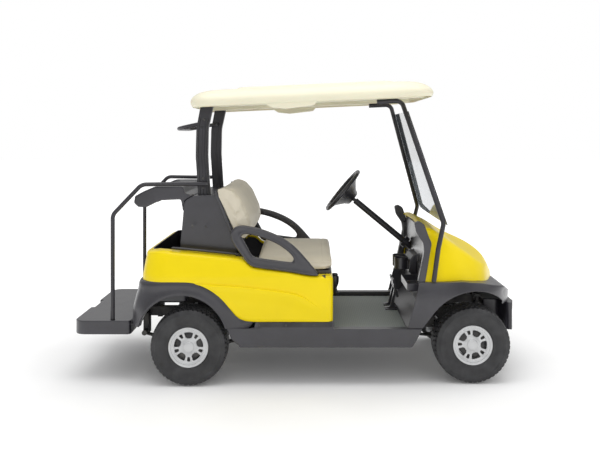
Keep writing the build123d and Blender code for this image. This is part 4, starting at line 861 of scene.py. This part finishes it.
# ------------------------------------------------------------------ small trim
SCREWS = [  # x, z, out from the middle plane, head radius
    (412, 356, 584, 6.5), (568, 356, 584, 6.5), (731, 356, 584, 6.5), (11, 921, 487, 8.0),
    (91, 919, 487, 8.0), (67, 1555, 378, 9.0), (51, 1508, 378, 9.0), (60, 1197, 378, 9.0),
    (60, 1142, 378, 9.0)]
BEADS = [  # radius and (x, y, z) points of the rounded trims that edge the seat shroud
    (9.0, [(150, 484, 1122), (196, 484, 1006), (243, 484, 889), (262, 484, 842)]),
    (8.0, [(-104, 490, 792), (-60, 492, 789), (100, 494, 774), (270, 494, 757), (284, 494, 752)])]
STRIP = (404.0, 838.0, 344.0, 375.0)      # ends, lower and upper edge of the strip under the body side
SCREW_DOME = [(0.0, 2.6), (0.45, 2.45), (0.8, 1.7), (1.0, 0.5), (1.0, -1.5)]  # share of radius, height in mm
STRIP_PLANES = (560.0, 583.0)             # its inner and outer face
STRIP_ROUND = 0.004                       # m
RIB_INSET = 0.012                         # middle of a strut's rib, in from the strut's edge, m
RIB_HALF, RIB_ROOT, RIB_PROUD = 0.006, 0.0015, 0.0075     # half width, depth of its root and height, m
COIL_WIRE = 0.0042                        # radius of the spring wire, m
COIL = ((1686, 262), (1729, 426))         # (x, z) of the lower and upper end of the damper springs
COIL_Y = 246.0                            # from the middle plane
COIL_R = 27.5                             # radius of a coil, to the middle of its wire
COIL_TURNS = 7
KNOB_X = 870.0                            # the lever's axis
KNOB = [  # radius and height of the direction lever's grip, mm
    (0.5, 559), (14, 558), (20, 553), (21, 547), (17, 543), (24, 540), (27, 531), (26.5, 506), (23, 487),
    (16, 472), (12.5, 460), (12.5, 430), (10, 425), (0.5, 424)]
STRUT_SPAN = (0.93, 1.56)                 # heights between which the rear struts carry their ribs, m


def tube(bm, course, r, sides=14):
    """Round bar with domed ends along a course of points."""
    rows = []
    for k, point in enumerate(course):
        heading = (course[min(k + 1, len(course) - 1)] - course[max(k - 1, 0)]).normalized()
        aside = Vector((0.0, 1.0, 0.0)) if abs(heading.y) < 0.9 else Vector((0.0, 0.0, 1.0))
        across = heading.cross(aside).normalized()
        up = across.cross(heading)
        ends = [(0.0, 1.0)]
        if k == 0:
            ends = [(-0.95, 0.3), (-0.7, 0.7), (-0.3, 0.95), (0.0, 1.0)]
        elif k == len(course) - 1:
            ends = [(0.0, 1.0), (0.3, 0.95), (0.7, 0.7), (0.95, 0.3)]
        for forward, width in ends:
            middle = point + heading * (forward * r)
            turns = [2 * math.pi * j / sides for j in range(sides)]
            rows.append([bm.verts.new(middle + (across * math.cos(a) + up * math.sin(a)) * (r * width))
                         for a in turns])
    for one, two in zip(rows, rows[1:]):
        for j in range(sides):
            bm.faces.new((one[j - 1], one[j], two[j], two[j - 1]))
    bm.faces.new(list(reversed(rows[0])))
    bm.faces.new(rows[-1])


def panel_screws():
    """Domed screw heads on both sides of the cart."""
    bm = bmesh.new()
    for x, z, out, r in SCREWS:
        for side in (1, -1):
            profile = [(max(share * r, 0.02) * MM, d * MM) for share, d in SCREW_DOME]
            rows = turned_rows(profile, drawn(x, side * out, z), side, 20)
            verts = [[bm.verts.new(point) for point in row] for row in rows]
            for low, high in zip(verts, verts[1:]):
                for k in range(20):
                    bm.faces.new((low[k], low[k - 1], high[k - 1], high[k]))
    return bm


def body_strips():
    """Rubbing strips under the lower edge of the body sides."""
    rear, front, low, high = STRIP
    bm = bmesh.new()
    for side in (1, -1):
        outline = [(rear, low), (front, low), (front, high), (rear, high)]
        prism(bm, outline, side * STRIP_PLANES[0], side * STRIP_PLANES[1])
    return bm


def direction_knob():
    """Waisted grip with a cap, turned about an upright axis in front of the seat pod."""
    rows = []
    for r, z in KNOB:
        turns = [2 * math.pi * k / 40 for k in range(40)]
        rows.append([drawn(KNOB_X + r * math.cos(a), r * math.sin(a), z) for a in turns])
    return sheet_of(rows, ring=True)


def shroud_beads():
    """Rounded trims along the front and the foot of the seat shroud."""
    bm = bmesh.new()
    for r, course in BEADS:
        for side in (1, -1):
            tube(bm, [Vector(drawn(x, side * y, z)) for x, y, z in course], r * MM)
    return bm


def damper_coils():
    """Coil springs round the front dampers."""
    bm = bmesh.new()
    foot, head = (Vector(drawn(x, 0.0, z)) for x, z in COIL)
    along_axis = head - foot
    out = Vector((0.0, 1.0, 0.0))
    front = along_axis.normalized().cross(out)
    steps = COIL_TURNS * 18
    for side in (1, -1):
        course = []
        for k in range(steps + 1):
            a = 2 * math.pi * k / 18
            place = foot + along_axis * (k / steps) + Vector((0.0, side * COIL_Y * MM, 0.0))
            course.append(place + (out * math.cos(a) + front * math.sin(a)) * (COIL_R * MM))
        tube(bm, course, COIL_WIRE, 8)
    return bm


def strut_ribs_painted_shade():
    """Half-round ribs down the outer face of the rear struts, set in from their edges, in dark rubber:
    painted shade that stands in for the shade in the struts' grooves.
    """
    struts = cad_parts["rear_struts"]
    points = [struts.matrix_world @ vert.co for vert in struts.data.vertices]
    skin = BVHTree.FromPolygons(points, [face.vertices[:] for face in struts.data.polygons])
    side_y = max(point.y for point in points)
    bm = bmesh.new()
    for side in (1, -1):
        for edge in (1.0, -1.0):
            rows = []
            for k in range(41):
                z = STRUT_SPAN[0] + (STRUT_SPAN[1] - STRUT_SPAN[0]) * k / 40
                start = Vector((-edge * 2.0, side * (side_y - 0.02), z))
                place = skin.ray_cast(start, Vector((edge, 0.0, 0.0)))[0]
                if place is None:
                    continue
                x = place.x + edge * RIB_INSET
                turns = [math.pi * j / 8 for j in range(9)]
                rows.append([
                    (x + RIB_HALF * math.cos(a), side * (side_y - RIB_ROOT + RIB_PROUD * math.sin(a)), z)
                    for a in turns])
            verts = [[bm.verts.new(point) for point in row] for row in rows]
            for one, two in zip(verts, verts[1:]):
                for j in range(8):
                    bm.faces.new((one[j], one[j + 1], two[j + 1], two[j]))
    return bm


class CART_OT_trim(bpy.types.Operator):
    """Screws, strips, direction knob, shroud beads, damper coils and the dark ribs of the rear struts, whose
    dark rubber is painted shade
    """

    bl_idname = "cart.trim"
    bl_label = "Small trim"

    def execute(self, context):
        for name, shape, recipe, slot, sharp in [
            ("panel_screws", panel_screws, enamelled_chassis_steel, "bare_steel", 35.0),
            ("body_strips", body_strips, vulcanised_rubber, "dark_moulding", 35.0),
            ("direction_knob", direction_knob, moulded_polypropylene, "dark_moulding", 60.0),
            ("shroud_beads", shroud_beads, moulded_polypropylene, "dark_moulding", 35.0),
            ("damper_coils", damper_coils, zinc_plated_steel, "bare_steel", 35.0),
            # the struts' ribs are dark rubber as painted shade of their grooves
            ("strut_ribs_painted_shade", strut_ribs_painted_shade, vulcanised_rubber, "frame_steel", 35.0),
        ]:
            obj = link(name, to_mesh(name, shape(), sharp=sharp), "chassis", recipe=recipe)
            if name == "body_strips":
                add(obj, "BEVEL", width=STRIP_ROUND, segments=4)
                apply_modifiers(obj)
        return {"FINISHED"}


# ------------------------------------------------------------------ armrests, seats and steering wheel
ARM_OUTER = [  # (x, z) round the armrest's outer edge
    (247, 893), (260, 916), (283, 930), (318, 935), (378, 925), (448, 906), (523, 875), (588, 836),
    (638, 792), (688, 737), (738, 677), (757, 652), (742, 642), (673, 650), (573, 667), (448, 682),
    (378, 694), (345, 716), (318, 750), (291, 786), (266, 824), (250, 858)]
ARM_INNER = [  # and round its opening
    (310, 868), (320, 882), (348, 885), (398, 874), (448, 857), (498, 836), (548, 807), (590, 773),
    (609, 747), (608, 728), (590, 721), (523, 729), (448, 739), (386, 751), (366, 766), (346, 800),
    (325, 840)]
ARM_PLANES = (545.0, 585.0)        # inner and outer face, from the middle plane
ARM_ROUND = 13.0                   # radius of its edges
ARM_DISH = 2.5                     # depth of the hollow in its outer face


def closed_curve(points, count):
    """Evenly spaced points on the smooth closed curve through a ring of points."""
    dense = []
    total = len(points)
    for i in range(total):
        p0, p1, p2, p3 = (Vector(points[(i + k - 1) % total]) for k in range(4))
        for k in range(20):
            t = k / 20
            dense.append(0.5 * ((2 * p1) + (p2 - p0) * t + (2 * p0 - 5 * p1 + 4 * p2 - p3) * t * t
                                + (3 * p1 - p0 - 3 * p2 + p3) * t ** 3))
    lengths = [0.0]
    for a, b in zip(dense, dense[1:] + dense[:1]):
        lengths.append(lengths[-1] + (b - a).length)
    even, j = [], 0
    for k in range(count):
        goal = lengths[-1] * k / count
        while lengths[j + 1] < goal:
            j += 1
        share = (goal - lengths[j]) / (lengths[j + 1] - lengths[j])
        even.append(dense[j].lerp(dense[(j + 1) % len(dense)], share))
    return even


def armrest_mesh(name, side):
    """Moulded loop: a band between two closed curves, its edges rounded and its outer face lightly dished."""
    outer = closed_curve(ARM_OUTER, 180)
    inner = closed_curve(ARM_INNER, 720)
    low, high = ARM_PLANES
    rows = []
    for point in outer:
        near = min(inner, key=lambda q: (q - point).length)
        width = (near - point).length
        across = (near - point) / width
        r = min(ARM_ROUND, width * 0.3)
        row = []
        for index in range(4):
            for k in range(6):
                a = math.pi / 2 * k / 5
                if index == 0:
                    d, e = r - r * math.cos(a), high - r + r * math.sin(a)
                elif index == 1:
                    d, e = width - r + r * math.sin(a), high - r + r * math.cos(a)
                elif index == 2:
                    d, e = width - r + r * math.cos(a), low + r - r * math.sin(a)
                else:
                    d, e = r - r * math.sin(a), low + r - r * math.cos(a)
                row.append((d, e))
            if index == 0:
                for t in (0.15, 0.3, 0.5, 0.7, 0.85):
                    row.append((r + (width - 2 * r) * t, high - ARM_DISH * math.sin(math.pi * t)))
        rows.append([drawn(*((point + across * d).x, side * e, (point + across * d).y)) for d, e in row])
    return to_mesh(name, sheet_of(rows, ring=True, closed=True), sharp=60.0)


class CART_OT_armrests(bpy.types.Operator):
    """Moulded hip restraint loops at the ends of the seat"""

    bl_idname = "cart.armrests"
    bl_label = "Armrests"

    def execute(self, context):
        for name, side in (("armrest_left", 1), ("armrest_right", -1)):
            replaced = ["armrests"] if side > 0 else []
            obj = link(name, armrest_mesh(name, side), "chassis", *replaced, recipe=moulded_polypropylene)
        return {"FINISHED"}


FOAM_INSET = 0.003                 # the cover starts inside the cushion by this much, m
COVER_TRAVEL = 0.009               # and the pressure moves it by no more than this
SEAM_DEPTH = 0.0028                # how far a seam is drawn in
SEAM_REACH = 0.0045                # and how far that reaches to its sides
COVER_FACES = 0.45                 # share of the cover's faces that is kept
CUSHION_CROWN = 0.34               # share of its height that the cushion falls by at its ends
CUSHION_LEAN = 0.034               # the cushion's upper front edge stands forward, m
CUSHION_SEAM = 0.462               # seams near the ends, from the middle plane
BACK_SEAM = 0.458
FRONT_SEAM = 0.058                 # seam behind the cushion's front edge
BACK_CROWN = 0.026                 # the back's ends sweep rearward by this much
BACK_PLANE = ((279.0, 0.0, 839.0), (155.0, 0.0, 1100.0))   # foot and head of the plane behind the back, mm


def press_in(bm, depth, reach, distance_to_seam):
    """Draws the cover in along a seam: depth at the seam, fading over reach."""
    for vert in bm.verts:
        gap = abs(distance_to_seam(vert.co))
        if gap < reach * 3:
            vert.co -= vert.normal * depth * math.exp(-((gap / reach) ** 2))


def padded_cover(name, source, body, rest, seams, crown):
    """Vinyl cover blown up over its foam by cloth pressure, held to COVER_TRAVEL, with sewn seams.
    rest is the (point, outward normal) of the plane that the pad lies on, and crown shapes it beforehand."""
    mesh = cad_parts[source].data.copy()
    obj = link(name, mesh, body, source)
    obj.matrix_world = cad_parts[source].matrix_world.copy()
    low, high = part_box(source)
    middle = Vector([(a + b) / 2 for a, b in zip(low, high)])
    scale = [1 - 2 * FOAM_INSET / (b - a) for a, b in zip(low, high)]
    for vert in mesh.vertices:
        vert.co = Vector([m + (c - m) * k for m, c, k in zip(middle, vert.co, scale)])
    add(obj, "REMESH", mode="VOXEL", voxel_size=0.007)
    add(obj, "SMOOTH", factor=0.5, iterations=3)
    apply_modifiers(obj)
    for vert in obj.data.vertices:
        vert.co = crown(vert.co)
    start = [vert.co.copy() for vert in obj.data.vertices]
    cloth = add(obj, "CLOTH")
    cloth.settings.use_pressure = True
    cloth.settings.uniform_pressure_force = 4.0
    cloth.settings.effector_weights.gravity = 0.0
    cloth.settings.tension_stiffness = cloth.settings.compression_stiffness = 30.0
    cloth.settings.quality = 4
    for step in range(1, 21):
        bpy.context.scene.frame_set(step)
    apply_modifiers(obj)
    bpy.context.scene.frame_set(1)
    place, outward = rest
    for vert, origin in zip(obj.data.vertices, start):
        travel = vert.co - origin
        if travel.length > COVER_TRAVEL:
            travel *= COVER_TRAVEL / travel.length
        point = origin + travel
        beyond = (point - place).dot(outward)
        if beyond > -0.0005:
            point -= outward * (beyond + 0.0005)
        vert.co = point
    add(obj, "SUBSURF", levels=1, render_levels=1)
    apply_modifiers(obj)
    bm = bmesh.new()
    bm.from_mesh(obj.data)
    bm.normal_update()
    for seam in seams:
        press_in(bm, SEAM_DEPTH, SEAM_REACH, seam)
    bm.to_mesh(obj.data)
    bm.free()
    add(obj, "DECIMATE", ratio=COVER_FACES)
    apply_modifiers(obj)
    for face in obj.data.polygons:
        face.use_smooth = True
    dress(obj, embossed_marine_vinyl)
    return obj


class CART_OT_seats(bpy.types.Operator):
    """Crowned seat bottom and back in sewn vinyl covers"""

    bl_idname = "cart.seats"
    bl_label = "Seats"

    def execute(self, context):
        low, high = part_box("seat_cushion")

        def crowned(p):
            rise = 1.0 - CUSHION_CROWN * min(abs(p.y) / 0.44, 1.1) ** 2
            height = (p.z - low[2]) / (high[2] - low[2])
            lean = CUSHION_LEAN * smoothstep(p.x, high[0] - 0.16, high[0]) * smoothstep(height, 0.05, 0.6)
            return Vector((min(p.x + lean, high[0]), p.y, low[2] + (p.z - low[2]) * rise))

        def end_seam(p):
            return abs(p.y) - CUSHION_SEAM

        def front_seam(p):
            return p.x - (high[0] - FRONT_SEAM) if abs(p.y) < CUSHION_SEAM and p.z > 0.7 else 1.0

        seat_plane = (Vector((0.0, 0.0, low[2])), Vector((0.0, 0.0, -1.0)))
        cushion = padded_cover("seat_cushion_cover", "seat_cushion", "seat_bottom", seat_plane,
                               [end_seam, front_seam], crowned)
        foot, head = (Vector(drawn(*point)) for point in BACK_PLANE)
        run = (head - foot).normalized()
        outward = Vector((-run.z, 0.0, run.x))
        if outward.x > 0:
            outward = -outward

        def set_back(p):
            depth = min(max(-(p - foot).dot(outward) / 0.12, 0.0), 1.0)
            return Vector((p.x - BACK_CROWN * depth * (abs(p.y) / 0.5) ** 2, p.y, p.z))

        back = padded_cover("seat_back_cover", "seat_back", "chassis", (foot, outward),
                            [lambda p: abs(p.y) - BACK_SEAM], set_back)
        return {"FINISHED"}


WHEEL_CENTRE = Vector(drawn(933.0, 280.0, 1081.0))     # middle of the steering wheel's rim
COLUMN = Vector((0.77, 0.0, -0.638)).normalized()      # down the steering column
GRIP = (164.0, 1.0, 13.6)          # radius of the grip's ring, its distance down, and its own radius, mm
SWELLS = (0.93, 0.07)              # shares of that radius: its least, and what the finger swells add
DISH = [  # radius and distance down of the cone between the grip and the hub, mm
    (161, 2), (152, 9), (140, 17), (122, 29), (104, 42), (86, 55), (68, 68), (54, 79), (46, 86), (42, 94)]
DISH_GAUGE = 0.008                 # m
PAD = [  # the same of the hub, its pad and its shank
    (0.5, 8), (40, 9), (50, 12), (55, 17), (55, 24), (50, 40), (46, 86), (34, 95), (22, 97), (12, 98),
    (12, 150), (9.6, 150), (9.6, 194), (0.5, 194)]


def column_rows(profile, steps, start=0.0):
    """Rows of an (r, distance down the column) profile turned about the steering column."""
    side = Vector((0.0, 1.0, 0.0))
    up = side.cross(COLUMN)
    rows = []
    for r, down in profile:
        row = []
        for k in range(steps):
            a = start + 2 * math.pi * k / steps
            out = side * math.cos(a) + up * math.sin(a)
            row.append(WHEEL_CENTRE + COLUMN * (down * MM) + out * (r * MM))
        rows.append(row)
    return rows


class CART_OT_steering_wheel(bpy.types.Operator):
    """Deep-dished steering wheel: a grip with finger swells, two windows between broad spokes, and a hub"""

    bl_idname = "cart.steering_wheel"
    bl_label = "Steering wheel"

    def execute(self, context):
        ring, down, thick = GRIP
        turns = [2 * math.pi * k / 20 for k in range(20)]
        rows = column_rows([(ring + thick * math.cos(a), down + thick * math.sin(a)) for a in turns], 144)
        middle = [sum((row[k] for row in rows), Vector()) / len(rows) for k in range(144)]
        for row in rows:
            for k, point in enumerate(row):
                share = SWELLS[0] + SWELLS[1] * abs(math.cos(math.pi * k / 6))
                row[k] = middle[k] + (point - middle[k]) * share
        grip = to_mesh("steering_grip", sheet_of(rows, ring=True, closed=True))
        obj = link("steering_grip", grip, "steering_wheel", "steering_wheel", recipe=moulded_polypropylene)
        rows = column_rows(DISH, 96)
        bm = bmesh.new()
        verts = [[bm.verts.new(point) for point in row] for row in rows]
        for ring in range(len(rows) - 1):
            for k in range(96):
                across = min(abs(k - 23.5), abs(k - 71.5))
                window = 1 <= ring < 7 and across < (7 if ring in (1, 6) else 10)
                if not window:
                    low, high, after = verts[ring], verts[ring + 1], (k + 1) % 96
                    bm.faces.new((low[k], low[after], high[after], high[k]))
        bmesh.ops.delete(bm, geom=[v for v in bm.verts if not v.link_faces], context="VERTS")
        spokes = link("steering_spokes", to_mesh("steering_spokes", bm, sharp=80.0), "steering_wheel",
                      recipe=moulded_polypropylene)
        add(spokes, "SOLIDIFY", thickness=DISH_GAUGE, offset=0.0)
        add(spokes, "SUBSURF", levels=1, render_levels=1)
        apply_modifiers(spokes)
        pad = to_mesh("steering_hub", sheet_of(column_rows(PAD, 64), ring=True), merge=0.0012)
        obj = link("steering_hub", pad, "steering_wheel", recipe=moulded_polypropylene)
        return {"FINISHED"}


# ------------------------------------------------------------------ carried-over CAD nodes
CARRIED = {
    painted_body_panel: ["front_cowl"],
    moulded_polypropylene: ["bag_well", "floor_pan", "pedals", "direction_lever", "seat_pan"],
    powder_coated_steel: ["front_struts", "rear_hoop", "grab_bars", "steering_column", "step_arms"],
    enamelled_chassis_steel: [
        "chassis_frame", "rear_axle", "motor", "suspension", "front_axle", "knuckle_left",
        "knuckle_right", "steering_gear"],
    zinc_plated_steel: ["tie_rod", "drop_arm"],
    rotomoulded_polyethylene: ["roof"],
    cast_acrylic: ["windshield_lower", "windshield_upper"],
    ribbed_mat_rubber: ["floor_mat"],
    moulded_battery_case: ["battery_pack"],
}


class CART_OT_carried_nodes(bpy.types.Operator):
    """Gives each CAD node that is shown as it stands its material"""

    bl_idname = "cart.carried_nodes"
    bl_label = "Carried CAD nodes"

    def execute(self, context):
        for recipe, names in CARRIED.items():
            for name in names:
                dress(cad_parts[name], recipe)
        return {"FINISHED"}


FLOOR_HALF = 40.0                  # half the side of the studio floor, m
SOFTBOXES = [  # name, place, target, width and height in metres, watts
    ("overhead_softbox", (0.2, -0.6, 4.2), (0.1, 0.2, 0.5), (4.5, 3.0), 70.0),
    ("front_softbox", (0.6, -5.4, 2.6), (0.1, 0.0, 0.8), (4.0, 2.0), 18.0),
    ("nose_softbox", (4.6, -1.2, 2.4), (0.8, 0.0, 0.7), (2.0, 2.4), 8.0)]
CAMERA_PLACE = (0.0695, -5.16, 1.461)      # square to the cart's right side
CAMERA_LENS = (47.34, 36.0)        # focal length and sensor width, mm
CAMERA_SHIFT = (-1 / 60, -3 / 20)  # shares of the picture's width


class CART_OT_stage(bpy.types.Operator):
    """Lays the pale floor, the soft studio lights and the camera"""

    bl_idname = "cart.stage"
    bl_label = "Stage"

    def execute(self, context):
        scene = context.scene
        mesh = bpy.data.meshes.new("studio_floor")
        far = FLOOR_HALF
        mesh.from_pydata([(-far, -far, 0), (far, -far, 0), (far, far, 0), (-far, far, 0)], [], [(0, 1, 2, 3)])
        floor = bpy.data.objects.new("studio_floor", mesh)
        scene.collection.objects.link(floor)
        dress(floor, studio_cyclorama)

        world = bpy.data.worlds.new("studio")
        world.use_nodes = True
        tree = world.node_tree
        tree.nodes.clear()
        place = node(tree, "ShaderNodeTexCoord").outputs["Generated"]
        height = node(tree, "ShaderNodeSeparateXYZ", {"Vector": place})
        glow = node(tree, "ShaderNodeMapRange", {"Value": height.outputs["Z"], "From Min": 0.0,
            "To Min": 0.34, "To Max": 1.05})
        soft = node(tree, "ShaderNodeBackground", {"Color": (1.0, 1.0, 1.0, 1.0),
            "Strength": glow.outputs["Result"]})
        plain = node(tree, "ShaderNodeBackground", {"Color": (1.0, 1.0, 1.0, 1.0), "Strength": 1.0})
        direct = node(tree, "ShaderNodeLightPath")
        both = node(tree, "ShaderNodeMixShader", {
            "Fac": direct.outputs["Is Camera Ray"], 1: soft.outputs["Background"],
            2: plain.outputs["Background"]})
        node(tree, "ShaderNodeOutputWorld", {"Surface": both.outputs["Shader"]})
        scene.world = world
        scene.view_settings.view_transform = "Standard"

        for name, place, target, size, power in SOFTBOXES:
            lamp = bpy.data.lights.new(name, "AREA")
            lamp.shape, lamp.size, lamp.size_y, lamp.energy = "RECTANGLE", size[0], size[1], power
            light = bpy.data.objects.new(name, lamp)
            light.location = place
            light.rotation_euler = (Vector(target) - Vector(place)).to_track_quat("-Z", "Y").to_euler()
            scene.collection.objects.link(light)

        lens = bpy.data.cameras.new("side_view")
        lens.lens, lens.sensor_width = CAMERA_LENS
        lens.shift_x, lens.shift_y = CAMERA_SHIFT
        camera = bpy.data.objects.new("side_view", lens)
        camera.location = CAMERA_PLACE
        camera.rotation_euler = (math.pi / 2, 0.0, 0.0)
        scene.collection.objects.link(camera)
        scene.camera = camera
        return {"FINISHED"}


class CART_PT_pieces(bpy.types.Panel):
    """Sizes, colours and pieces of the golf cart"""

    bl_idname = "CART_PT_pieces"
    bl_label = "Golf cart"
    bl_space_type = "VIEW_3D"
    bl_region_type = "UI"
    bl_category = "Cart"

    def draw(self, context):
        for group in (context.scene.cart_sizes, context.scene.cart_colours):
            for key in group.__annotations__:
                self.layout.prop(group, key)
        for operator in OPERATORS:
            self.layout.operator(operator.bl_idname)


OPERATORS = [
    CART_OT_carried_nodes,
    CART_OT_tyres,
    CART_OT_rims,
    CART_OT_body,
    CART_OT_mouldings,
    CART_OT_trim,
    CART_OT_armrests,
    CART_OT_seats,
    CART_OT_steering_wheel,
    CART_OT_stage,
]
CLASSES = [CartSizes, CartColours, *OPERATORS, CART_PT_pieces]


def register():
    for cls in CLASSES:
        bpy.utils.register_class(cls)
    bpy.types.Scene.cart_sizes = bpy.props.PointerProperty(type=CartSizes)
    bpy.types.Scene.cart_colours = bpy.props.PointerProperty(type=CartColours)


def unregister():
    del bpy.types.Scene.cart_colours
    del bpy.types.Scene.cart_sizes
    for cls in reversed(CLASSES):
        bpy.utils.unregister_class(cls)


def main():
    register()
    for operator in OPERATORS:
        section, name = operator.bl_idname.split(".")
        getattr(getattr(bpy.ops, section), name)()


if __name__ == "__main__":
    main()
